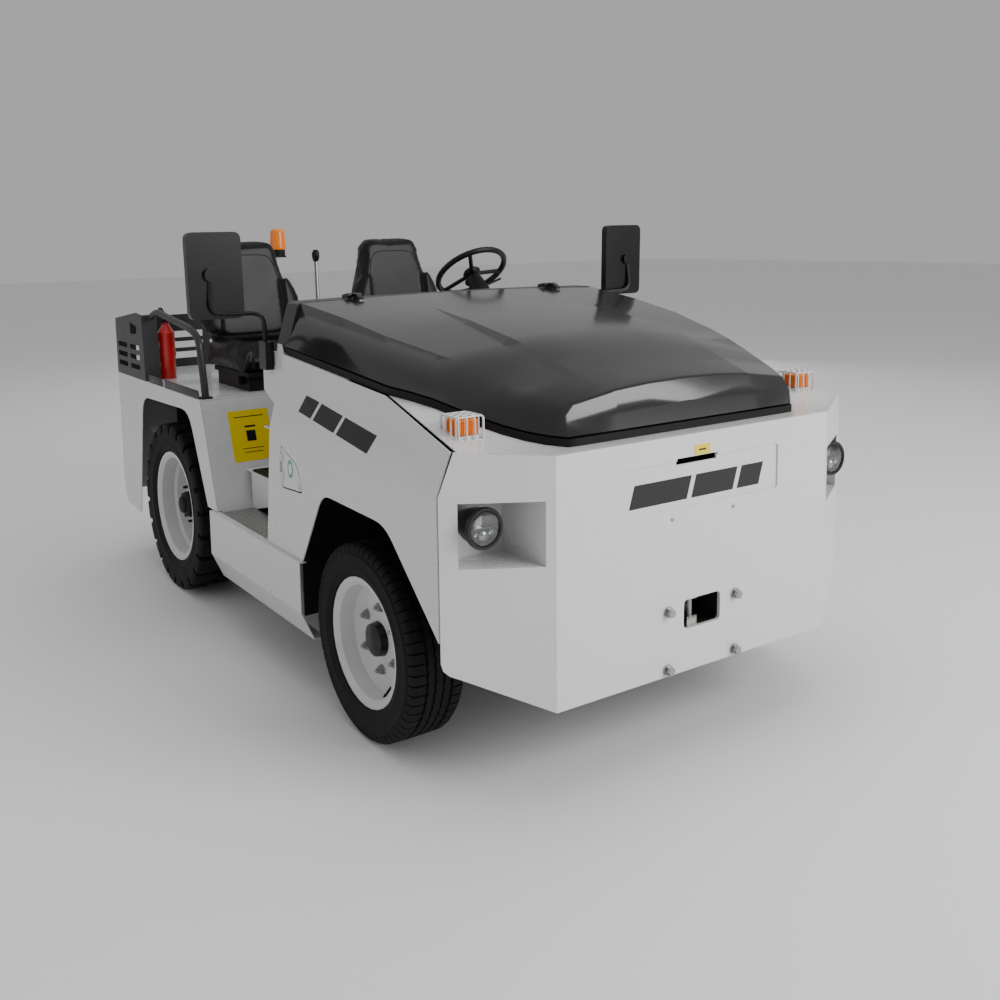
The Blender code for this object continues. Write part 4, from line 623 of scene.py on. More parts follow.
def repeated(shell: Shell, origin: Vector, axis: Vector, count: int) -> Shell:
    """Copies of a shell, evenly all round an axis.

    Args:
        shell: The one piece.
        origin: A point on the axis.
        axis: The axis's direction.
        count: How many there are in a full turn.

    Returns:
        The shell with all its copies.
    """
    bmesh.ops.spin(shell, geom=shell.verts[:] + shell.edges[:] + shell.faces[:], cent=origin, axis=axis,
                   dvec=(0, 0, 0), angle=2 * math.pi * (count - 1) / count, steps=count - 1, use_merge=False,
                   use_normal_flip=False, use_duplicate=True)
    return shell


def hexagon(centre: Vector, axis: Vector, across: float, height: float, washer: float = 0.0) -> Shell:
    """A hexagon bolt head, with a washer under it if asked.

    Args:
        centre: The middle of its seat.
        axis: The way it stands out.
        across: Its width over the corners.
        height: Its height over the seat.
        washer: The washer's outer radius, or 0.

    Returns:
        The head's shell.
    """
    shell = bmesh.new()
    place = frame_along(centre, axis)
    bmesh.ops.create_cone(shell, cap_ends=True, segments=6, radius1=across / 2, radius2=across / 2, depth=height,
                          matrix=place @ Matrix.Translation((0, 0, height / 2)))
    top = [edge for edge in shell.edges if all((place.inverted() @ vert.co).z > height * 0.9 for vert in edge.verts)]
    soften(shell, top, across * 0.07, 2)
    if washer:
        merge(shell, turn([(across * 0.3, 0.0), (washer, 0.0), (washer, height * 0.2), (washer * 0.94, height * 0.26),
                           (across * 0.3, height * 0.26)], centre, axis, 28))
    return shell


def hugs(shell: Shell, surface: BVHTree, limit: float) -> bool:
    """Whether all of a shell's corners stay this near a surface."""
    return all(surface.find_nearest(vert.co, limit)[0] is not None for vert in shell.verts)


def refined(node: str, round_by: float = 0.0015, keep: float = 24.0, segments: int = 2) -> bpy.types.Object:
    """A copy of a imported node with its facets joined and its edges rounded, which stands for the node.

    Args:
        node: The node's name.
        round_by: The rounding of its edges, or 0 for none.
        keep: Edges sharper than this angle, in degrees, are rounded.
        segments: Steps in the rounding.

    Returns:
        The piece.
    """
    source = frame["nodes"][node]
    surface = surface_of(source.data)
    for width in (round_by, round_by * 0.5, round_by * 0.25, 0.0):
        shell = bmesh.new()
        shell.from_mesh(source.data)
        bmesh.ops.remove_doubles(shell, verts=shell.verts[:], dist=WELD)
        bmesh.ops.dissolve_limit(shell, angle_limit=math.radians(0.6), use_dissolve_boundaries=False,
                                 verts=shell.verts[:], edges=shell.edges[:], delimit={"NORMAL"})
        if width:
            soften(shell, sharp_edges(shell, keep), width, segments)
        if not width or hugs(shell, surface, width * 0.9 + 3e-4):
            break
        shell.free()
    log.info("%s rounded by %.2f mm", node, width * 1000)
    for face in shell.faces:
        face.material_index = 0
    piece = settle(f"{node}_skin", shell, finish_of(node), source["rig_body"], crease=30.0, outward=False)
    even = piece.modifiers.new("even_shading", "WEIGHTED_NORMAL")
    even.keep_sharp = True
    even.weight = 80
    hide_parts(node)
    return piece


# ---------------------------------------------------------------- sub-assemblies


@dataclass
class Bodywork:
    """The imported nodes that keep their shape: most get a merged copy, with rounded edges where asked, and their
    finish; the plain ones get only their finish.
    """

    plain: tuple[str, ...] = ("battery_block", "rear_compartment", "wheel_housing_right", "wheel_housing_left")
    round_by: float = 0.0018
    replaced_elsewhere: tuple[str, ...] = ()

    def build(self) -> None:
        """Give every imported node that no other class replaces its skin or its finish."""
        for node, source in frame["nodes"].items():
            if node in self.replaced_elsewhere:
                continue
            if node in self.plain:
                source.data.materials.clear()
                source.data.materials.append(finish_of(node).material())
                continue
            self.dress(refined(node, self.width_for(node)), node)

    def width_for(self, node: str) -> float:
        """How far the edges of a node are rounded.

        Args:
            node: The node's name.

        Returns:
            The width of the rounding.
        """
        if node in ("hood", "hood_seal", "steering_wheel"):
            return 0.0
        if node == "front_plate":
            return 0.0035
        return 0.0009 if node.startswith(("front_rim", "rear_rim", "steering", "headlight")) else self.round_by

    def dress(self, piece: bpy.types.Object, node: str) -> None:
        """Give the faces of a skin that aren't in its main finish their own one.

        Args:
            piece: The skin.
            node: The node it stands for.
        """
        rules = FACE_RULES.get(node) or FACE_RULES.get(node.removesuffix("right").removesuffix("left"), ())
        for index, (finish, test) in enumerate(rules, start=1):
            piece.data.materials.append(finish.material())
            for face in piece.data.polygons:
                centre = piece.data.vertices[face.vertices[0]].co * 0.5 + face.center * 0.5
                if test(abs(centre.x), centre.y + MIDDLE, centre.z):
                    face.material_index = index


FACE_RULES: dict[str, list[tuple[Finish, Callable[[float, float, float], bool]]]] = {
    "front_hitch": [(CHASSIS, lambda x, s, z: s > 0.075)],
    "floor_plate": [(TREAD_STEEL, lambda x, s, z: x > 0.735 and z < 0.53)],
    "front_rim_": [(GLOSSY_PLASTIC, lambda x, s, z: x > 0.8085 and math.hypot(s - 0.704, z - 0.341) < 0.062)],
    "rear_rim_": [(GLOSSY_PLASTIC, lambda x, s, z: x > 0.7365 and math.hypot(s - 2.631, z - 0.408) < 0.108)],
    "beacon": [(CHASSIS, lambda x, s, z: z < 1.634)],
    "fire_extinguisher": [(GLOSSY_PLASTIC, lambda x, s, z: z > 1.29)],
    "park_brake_lever": [(GLOSSY_PLASTIC, lambda x, s, z: z > 1.545 or z < 1.06)],
}


@dataclass
class Decals:
    """Blank labels, dark slanted bars and the green emblem, each a thin sheet on its surface."""

    thickness: float = 0.0006

    def build(self) -> None:
        """Lay every decal on its surface."""
        self.front()
        self.flap_emblem()
        for side in Side:
            self.side_bars(side)
            self.riser_label(side)

    def lay(self, name: str, node: str, outline: Sequence[Vector], push: Vector, finish: Finish,
            body: str = "chassis", round_by: float = 0.0) -> bpy.types.Object:
        """Lay a decal on a node's surface, which it follows.

        Args:
            name: The piece's name.
            node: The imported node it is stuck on.
            outline: Its corners, somewhere outside the surface.
            push: The way it is pressed on, towards the surface.
            finish: Its finish.
            body: The body it rides on.
            round_by: The radius of its corners.

        Returns:
            The piece.
        """
        tree = surface_of(frame["nodes"][node].data)
        shell = bmesh.new()
        corners = rounded_outline(outline, round_by) if round_by else list(outline)
        face = shell.faces.new([shell.verts.new(point) for point in corners])
        step = push.normalized()
        for vert in shell.verts:
            hit = tree.ray_cast(vert.co - step * 0.05, step, 0.4)
            if hit[0] is None:
                log.warning("%s runs off %s at %s", name, node, tuple(vert.co))
                continue
            vert.co = hit[0] - step * self.thickness
        made = bmesh.ops.extrude_face_region(shell, geom=[face])["geom"]
        fresh = [item for item in made if isinstance(item, bmesh.types.BMVert)]
        bmesh.ops.translate(shell, vec=step * self.thickness * 0.8, verts=fresh)
        return settle(name, shell, finish, body)

    def front(self) -> None:
        """The slanted bars in the front recess and the yellow blank over the slot."""
        push = Vector((0, 1, 0))
        lean = 0.022
        for index, (low, high) in enumerate(((-0.318, -0.072), (-0.052, 0.138), (0.158, 0.262))):
            outline = [at(low, -0.01, 0.862), at(high, -0.01, 0.862), at(high + lean, -0.01, 0.936),
                       at(low + lean, -0.01, 0.936)]
            self.lay(f"front_bar_{index}", "front_plate", outline, push, INK)
        label = [at(-0.045, -0.01, 0.9995), at(0.027, -0.01, 0.9995), at(0.027, -0.01, 1.033),
                 at(-0.045, -0.01, 1.033)]
        self.lay("front_yellow_blank", "front_plate", label, push, YELLOW, round_by=0.003)
        line = [at(-0.025, -0.01, 1.013), at(0.007, -0.01, 1.013), at(0.007, -0.01, 1.019),
                at(-0.025, -0.01, 1.019)]
        self.over("front_yellow_line", line, push, INK, "front_plate")

    def over(self, name: str, outline: Sequence[Vector], push: Vector, finish: Finish, node: str,
             body: str = "chassis") -> None:
        """Print a second thin layer over a decal.

        Args:
            name: The piece's name.
            outline: Its corners, somewhere outside the surface.
            push: The way it is pressed on.
            finish: Its finish.
            node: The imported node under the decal.
            body: The body it rides on.
        """
        Decals(GLYPH_LAYER).lay(name, node, outline, push, finish, body)

    def side_bars(self, side: Side) -> None:
        """Lay the slanted bars along the inclined upper side panel.

        Args:
            side: The vehicle's side.
        """
        sign = side.value
        push = Vector((-sign, 0, 0))
        spans = ((0.620, 0.850), (0.870, 1.040), (1.060, 1.165))
        for index, (front, rear) in enumerate(spans):
            outline = []
            for share, station in ((0.0, front), (0.0, rear), (1.0, rear - 0.035), (1.0, front - 0.035)):
                height = 0.996 + (station - 0.5) * 0.118 + share * 0.066
                outline.append(at(sign * 1.0, station, height))
            self.lay(f"side_bar_{side.label}_{index}", f"front_side_{side.label}", outline, push, INK)

    def riser_label(self, side: Side) -> None:
        """Lay the yellow blank on the seat riser's front face, with a few plain lines on it.

        Args:
            side: The vehicle's side.
        """
        low, high = (-0.785, -0.592) if side is Side.RIGHT else (0.592, 0.785)
        push = Vector((0, 1, 0))
        station = 1.90
        outline = [at(low, station, 0.715), at(high, station, 0.715), at(high, station, 0.935),
                   at(low, station, 0.935)]
        self.lay(f"riser_yellow_blank_{side.label}", "seat_riser", outline, push, YELLOW, round_by=0.006)
        middle = (low + high) / 2
        lines = ((0.070, 0.905, 0.909), (0.026, 0.860, 0.868), (0.022, 0.800, 0.846), (0.050, 0.768, 0.771),
                 (0.044, 0.752, 0.755))
        for index, (half, bottom, top) in enumerate(lines):
            mark = [at(middle - half, station, bottom), at(middle + half, station, bottom),
                    at(middle + half, station, top), at(middle - half, station, top)]
            self.over(f"riser_mark_{side.label}_{index}", mark, push, INK, "seat_riser")

    def flap_emblem(self) -> None:
        """A plain green oval ring on the charging flap, with a white middle."""
        push = Vector((1, 0, 0))
        self.lay("flap_green_oval", "charge_flap", self.oval(1.0), push, GREEN, "charge_flap")
        self.over("flap_oval_middle", self.oval(0.62), push, LABEL_WHITE, "charge_flap", "charge_flap")

    @staticmethod
    def oval(share: float, points: int = 28) -> list[Vector]:
        """The flap's oval, or a smaller one round the same middle.

        Args:
            share: Its size against the whole oval's.
            points: Points round it.

        Returns:
            The points.
        """
        turns = (2 * math.pi * index / points for index in range(points))
        return [at(-0.98, 1.188 + math.cos(angle) * 0.022 * share, 0.858 + math.sin(angle) * 0.034 * share)
                for angle in turns]


def rounded_outline(corners: Sequence[Vector], radius: float, steps: int = 4) -> list[Vector]:
    """A closed outline with its corners rounded.

    Args:
        corners: The outline's corners.
        radius: The corners' radius.
        steps: Points in each corner's rounding.

    Returns:
        The rounded outline's points.
    """
    points = []
    count = len(corners)
    for index, corner in enumerate(corners):
        before, after = corners[index - 1], corners[(index + 1) % count]
        start = corner + (before - corner).normalized() * radius
        end = corner + (after - corner).normalized() * radius
        for step in range(steps + 1):
            share = step / steps
            points.append((1 - share) ** 2 * start + 2 * share * (1 - share) * corner + share ** 2 * end)
    return points


@dataclass(frozen=True)
class Axle:
    """Where the wheels of one axle stand, and their sizes."""

    name: str
    station: float
    radius: float
    flange: float
    width: float
    chunky: bool
    nut_circle: float
    nut_face: float
    nuts: int
    nut_across: float
    tyre_face: float = 0.892

    def centre(self, side: Side, x: float) -> Vector:
        """The point on the wheel's axis at this distance from the middle of the vehicle."""
        return Vector((side.value * x, self.station - MIDDLE, self.radius))


FRONT_AXLE = Axle("front", 0.704, 0.341, 0.2255, 0.215, False, 0.112, 0.803, 6, 0.030)
REAR_AXLE = Axle("rear", 2.631, 0.408, 0.268, 0.272, True, 0.086, 0.7545, 10, 0.024)


@dataclass
class Tyre:
    """A tyre: a turned carcass with moulded tread blocks."""

    side: Side
    axle: Axle

    def build(self) -> None:
        """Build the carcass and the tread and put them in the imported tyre's place."""
        axle, label = self.axle, self.side.label
        centre, axis = axle.centre(self.side, axle.tyre_face - axle.width / 2), Vector((self.side.value, 0, 0))
        shell = turn(self.carcass(), centre, axis, 96)
        merge(shell, *(self.lugs(centre, axis) if axle.chunky else self.ribs(centre, axis)))
        piece = settle(f"{axle.name}_tyre_tread_{label}", shell, TYRE, f"{axle.name}_wheel_{label}", 38.0,
                       outward=False)
        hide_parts(f"{axle.name}_tyre_{label}")

    def carcass(self) -> list[tuple[float, float]]:
        """The tyre's section, from one bead over the crown to the other and back inside.

        Returns:
            (radius, distance along the axis) of its points.
        """
        half, depth = self.axle.width / 2, (0.024 if self.axle.chunky else 0.009)
        top, bead = self.axle.radius - depth, self.axle.flange
        wall = self.axle.radius - bead
        half_section = [(bead - 0.001, half * 0.80), (bead + 0.004, half * 0.905), (bead + 0.010, half * 0.915),
                        (bead + 0.013, half * 0.93), (bead + wall * 0.22, half * 0.975),
                        (bead + wall * 0.24, half * 0.985),
                        (bead + wall * 0.27, half * 0.985), (bead + wall * 0.29, half * 0.978),
                        (bead + wall * 0.46, half * 0.995), (bead + wall * 0.62, half * 0.985),
                        (bead + wall * 0.64, half * 0.992), (bead + wall * 0.67, half * 0.992),
                        (bead + wall * 0.69, half * 0.975), (top - 0.020, half * 0.93), (top - 0.008, half * 0.87),
                        (top - 0.001, half * 0.74), (top, half * 0.4)]
        other = [(radius, -along) for radius, along in reversed(half_section)]
        inner = [(bead - 0.001, -half * 0.5), (bead - 0.001, half * 0.5)]
        return half_section + [(top, 0.0)] + other + inner + [half_section[0]]

    def block_at(self, section: Sequence[tuple[float, float]], centre: Vector, axis: Vector, start: float,
                 sweep: float, steps: int, round_by: float) -> Shell:
        """One tread block: a section swept part of the way round.

        Args:
            section: (radius, distance along the axis) of the section's corners.
            centre: The tyre's middle.
            axis: The tyre's axis.
            start: Where it starts, as an angle.
            sweep: How far it goes.
            steps: Segments in the sweep.
            round_by: The rounding of its edges.

        Returns:
            The block's shell.
        """
        shell = bmesh.new()
        place = frame_along(centre, axis)
        face = shell.faces.new([shell.verts.new(place @ Vector((radius, 0, along))) for radius, along in section])
        bmesh.ops.spin(shell, geom=[face] + list(face.verts) + list(face.edges), cent=centre, axis=axis,
                       dvec=(0, 0, 0), angle=sweep, steps=steps, use_merge=False, use_normal_flip=False,
                       use_duplicate=False)
        bmesh.ops.rotate(shell, cent=centre, matrix=Matrix.Rotation(start, 3, axis), verts=shell.verts[:])
        bmesh.ops.recalc_face_normals(shell, faces=shell.faces[:])
        if round_by:
            soften(shell, sharp_edges(shell, 30), round_by, 1)
        return shell

    def lugs(self, centre: Vector, axis: Vector) -> list[Shell]:
        """Deep lateral blocks, alternating from both shoulders, with a middle row between them.

        Args:
            centre: The tyre's middle.
            axis: The tyre's axis.

        Returns:
            A shell for each row.
        """
        half, top, count = self.axle.width / 2, self.axle.radius, 22
        pitch = 2 * math.pi / count
        rows = []
        for sign, offset in ((1, 0.0), (-1, pitch / 2)):
            section = [(top - 0.030, sign * 0.016), (top - 0.0005, sign * 0.016), (top - 0.0005, sign * half * 0.90),
                       (top - 0.008, sign * half * 0.985), (top - 0.060, sign * half * 0.997),
                       (top - 0.070, sign * half * 0.975), (top - 0.045, sign * half * 0.80)]
            lug = self.block_at(section, centre, axis, offset, pitch * 0.80, 3, 0.003)
            rows.append(repeated(lug, centre, axis, count))
        section = [(top - 0.030, -0.012), (top - 0.0015, -0.012), (top - 0.0015, 0.012), (top - 0.030, 0.012)]
        lug = self.block_at(section, centre, axis, pitch * 0.1, pitch * 0.42, 2, 0.002)
        rows.append(repeated(lug, centre, axis, count))
        return rows

    def ribs(self, centre: Vector, axis: Vector) -> list[Shell]:
        """Three ribs with zigzag edges, and a shoulder on each side cut into short blocks.

        Args:
            centre: The tyre's middle.
            axis: The tyre's axis.

        Returns:
            A shell for each rib or shoulder.
        """
        half, top, count = self.axle.width / 2, self.axle.radius, 60
        pitch = 2 * math.pi / count
        rows = []
        for middle, wide in ((0.0, 0.013), (0.031, 0.012), (-0.031, 0.012)):
            section = [(top - 0.012, middle - wide), (top - 0.0008, middle - wide + 0.001),
                       (top - 0.0008, middle + wide - 0.001), (top - 0.012, middle + wide)]
            place = frame_along(centre, axis)
            ring = turn([*section, section[0]], centre, axis, count * 2)
            for vert in ring.verts:
                local = place.inverted() @ vert.co
                angle = math.atan2(local.y, local.x) % (2 * math.pi)
                wave = 0.0028 if round(angle / (pitch / 2)) % 2 else -0.0028
                vert.co += axis * wave
            rows.append(ring)
        for sign in (1, -1):
            section = [(top - 0.016, sign * 0.052), (top - 0.0015, sign * 0.053), (top - 0.002, sign * half * 0.80),
                       (top - 0.009, sign * half * 0.90), (top - 0.024, sign * half * 0.955),
                       (top - 0.034, sign * half * 0.93)]
            block = self.block_at(section, centre, axis, 0.0, pitch * 0.86, 2, 0.0)
            rows.append(repeated(block, centre, axis, count))
        return rows


@dataclass
class WheelFittings:
    """The nuts on their studs, the valve stem and, at the rear, the drive hub of one wheel."""

    side: Side
    axle: Axle

    @property
    def body(self) -> str:
        """The body they ride on."""
        return f"{self.axle.name}_wheel_{self.side.label}"

    def build(self) -> None:
        """Build the fittings and mount them on the wheel's body."""
        across, outward = self.axle.nut_across, Vector((self.side.value, 0, 0))
        centre = self.axle.centre(self.side, self.axle.nut_face)
        seat = centre + Vector((0, 0, self.axle.nut_circle))
        nut = hexagon(seat, outward, across, across * 0.62, across * 0.62)
        merge(nut, turn([(across * 0.26, 0.0), (across * 0.26, across * 0.95), (across * 0.2, across * 1.02),
                         (0.0, across * 1.02)], seat, outward, 12))
        settle(f"{self.body}_nuts", repeated(nut, centre, outward, self.axle.nuts), STEEL, self.body, outward=False)
        self.valve(centre, outward)
        if self.axle.chunky:
            self.drive_hub(centre, outward)

    def drive_hub(self, centre: Vector, outward: Vector) -> None:
        """Build the black drive hub with its flange, its long studs and its cap.

        Args:
            centre: The middle of the rim's disc.
            outward: The way out from the vehicle.
        """
        circle = Vector((0, 0, 0.089))
        hub = turn([(0.0, 0.094), (0.030, 0.093), (0.040, 0.088), (0.044, 0.074), (0.056, 0.070), (0.060, 0.064),
                    (0.060, 0.034), (0.072, 0.030), (0.076, 0.012), (0.104, 0.010), (0.106, 0.0), (0.0, 0.0)],
                   centre, outward, 40)
        stud = turn([(0.0, 0.058), (0.0055, 0.058), (0.007, 0.055), (0.007, 0.010), (0.0, 0.010)],
                    centre + circle, outward, 12)
        merge(stud, hexagon(centre + outward * 0.010 + circle, outward, 0.026, 0.022, 0.016))
        merge(hub, repeated(stud, centre, outward, self.axle.nuts))
        bolt = hexagon(centre + outward * 0.064 + Vector((0, 0, 0.050)), outward, 0.012, 0.006)
        merge(hub, repeated(bolt, centre, outward, 8))
        settle(f"{self.body}_drive_hub", hub, CHASSIS, self.body, outward=False)

    def valve(self, centre: Vector, outward: Vector) -> None:
        """Build the rubber valve stem with its cap, low on the disc.

        Args:
            centre: The middle of the rim's disc.
            outward: The way out from the vehicle.
        """
        foot = centre + Vector((0, -0.055, -self.axle.nut_circle - 0.045))
        tip = foot + outward * 0.028 + Vector((0, -0.012, -0.016))
        shell = bar([foot, foot.lerp(tip, 0.5), tip], 0.0042, 10)
        cap = [(0.0, 0.0), (0.0056, 0.0), (0.0056, 0.010), (0.004, 0.012), (0.0, 0.012)]
        merge(shell, turn(cap, tip, tip - foot, 12))
        settle(f"{self.body}_valve", shell, SEAL, self.body, outward=False)


@dataclass
class CornerLamp:
    """A turn lamp on the ledge: white foot, ribbed amber lens and a cage of white wire."""

    side: Side
    low: tuple[float, float, float] = (0.706, 0.212, 1.096)
    high: tuple[float, float, float] = (0.806, 0.306, 1.173)
    wire: float = 0.0029
    rods: int = 9

    def build(self) -> None:
        """Build the lens and the cage."""
        self.lens(*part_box(f"corner_lamp_{self.side.label}"))
        self.cage()

    def lens(self, low: Vector, high: Vector) -> None:
        """Build the amber lens with vertical ribs, over a white foot.

        Args:
            low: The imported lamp's lowest corner.
            high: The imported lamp's highest corner.
        """
        label = self.side.label
        inset = Vector((0.004, 0.004, 0.0))
        shell = block(Vector((low.x, low.y, low.z + 0.010)) + inset, Vector((high.x, high.y, high.z - 0.004)) - inset,
                      0.006, 3)
        settle(f"turn_lamp_lens_{label}", shell, AMBER, "chassis", 40.0)
        ribs = []
        for index in range(self.rods):
            share = index / (self.rods - 1)
            y = low.y + 0.010 + (high.y - low.y - 0.020) * share
            x = low.x + 0.010 + (high.x - low.x - 0.020) * share
            for foot in ((low.x + 0.0035, y), (high.x - 0.0035, y), (x, low.y + 0.0035)):
                ribs.append(bar([Vector((*foot, low.z + 0.014)), Vector((*foot, high.z - 0.008))], 0.0022, 6))
        settle(f"turn_lamp_ribs_{label}", merge(*ribs), AMBER, "chassis", 40.0, outward=False)
        foot = block((low.x - 0.002, low.y - 0.002, low.z - 0.002), (high.x + 0.002, high.y + 0.002, low.z + 0.0095),
                     0.002)
        piece = settle(f"turn_lamp_foot_{label}", foot, WHITE, "chassis")
        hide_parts(f"corner_lamp_{label}")

    def cage(self) -> None:
        """Four hoops each way and a rail round the foot, in white wire."""
        sign = self.side.value
        low = at(sign * self.low[0], self.low[1], self.low[2])
        high = at(sign * self.high[0], self.high[1], self.high[2])
        hoops = []
        for share in (0.06, 0.35, 0.65, 0.94):
            x = low.x + (high.x - low.x) * share
            y = low.y + (high.y - low.y) * share
            for route in ([Vector((x, low.y, low.z)), Vector((x, low.y, high.z)), Vector((x, high.y, high.z)),
                           Vector((x, high.y, low.z))],
                          [Vector((low.x, y, low.z)), Vector((low.x, y, high.z)), Vector((high.x, y, high.z)),
                           Vector((high.x, y, low.z))]):
                hoops.append(bar(curved(route, 0.012, 4), self.wire, 8))
        height = low.z + 0.004
        corners = [Vector((low.x, low.y, height)), Vector((high.x, low.y, height)), Vector((high.x, high.y, height)),
                   Vector((low.x, high.y, height))]
        hoops.append(bar(rounded_outline(corners, 0.010), self.wire, 8, closed=True))
        settle(f"turn_lamp_cage_{self.side.label}", merge(*hoops), WHITE, "chassis", 60.0, outward=False)


@dataclass
class Headlight:
    """A round lamp in the front pocket: black bowl and bezel, chromed parts behind a clear lens."""

    side: Side
    x: float = 0.785
    station: float = 0.100
    height: float = 0.862

    def build(self) -> None:
        """Build the bowl, the bezel, the inner parts and the lens."""
        centre = at(self.side.value * self.x, self.station, self.height)
        front = Vector((0, -1, 0))
        label = self.side.label
        bowl = turn([(0.0, -0.120), (0.030, -0.120), (0.040, -0.105), (0.054, -0.060), (0.0600, -0.018),
                     (0.0635, -0.014), (0.0635, -0.004), (0.0615, -0.0008), (0.0540, -0.0015), (0.0500, -0.006),
                     (0.0490, -0.022), (0.0, -0.022)], centre, front, 64)
        piece = settle(f"headlight_bowl_{label}", bowl, GLOSSY_PLASTIC, "chassis", outward=False)
        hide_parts(f"headlight_{label}")
        self.insides(centre, front, label)
        glass = turn([(0.0500, -0.0045), (0.040, -0.0030), (0.020, -0.0018), (0.0, -0.0014), (0.0, -0.0030),
                      (0.020, -0.0034), (0.040, -0.0046), (0.0500, -0.0060), (0.0500, -0.0045)], centre, front, 64)
        settle(f"headlight_glass_{label}", glass, CLEAR, "chassis", 60.0, outward=False)

    def insides(self, centre: Vector, front: Vector, label: str) -> None:
        """Build a chromed half bowl over a dark bar, and a round lens and two cups under it.

        Args:
            centre: The middle of the lamp's face.
            front: The way the lamp looks.
            label: The side's name.
        """
        up = Vector((0, 0, 1))
        upper = turn([(0.038, -0.010), (0.033, -0.017), (0.020, -0.0205), (0.004, -0.0205)], centre + up * 0.004,
                     front, 32, math.pi)
        for vert in upper.verts:
            vert.co.z = max(vert.co.z, centre.z + 0.004)
        settle(f"headlight_upper_{label}", upper, REFLECTOR, "chassis", outward=False)
        bar_piece = block(centre + Vector((-0.048, 0.006, -0.004)), centre + Vector((0.048, 0.018, 0.003)), 0.0015)
        settle(f"headlight_bar_{label}", bar_piece, GLOSSY_PLASTIC, "chassis")
        low = centre - up * 0.023
        lens = turn([(0.017, -0.020), (0.017, -0.011), (0.0145, -0.009), (0.0130, -0.011), (0.008, -0.0075),
                     (0.0, -0.0065)], low, front, 32)
        settle(f"headlight_projector_{label}", lens, REFLECTOR, "chassis", outward=False)
        for index, shift in enumerate((-0.026, 0.026)):
            cup = turn([(0.010, -0.0105), (0.0085, -0.014), (0.004, -0.0175), (0.0, -0.0180)],
                       centre + Vector((shift, 0, -0.016)), front, 24)
            settle(f"headlight_cup_{label}_{index}", cup, REFLECTOR, "chassis", outward=False)


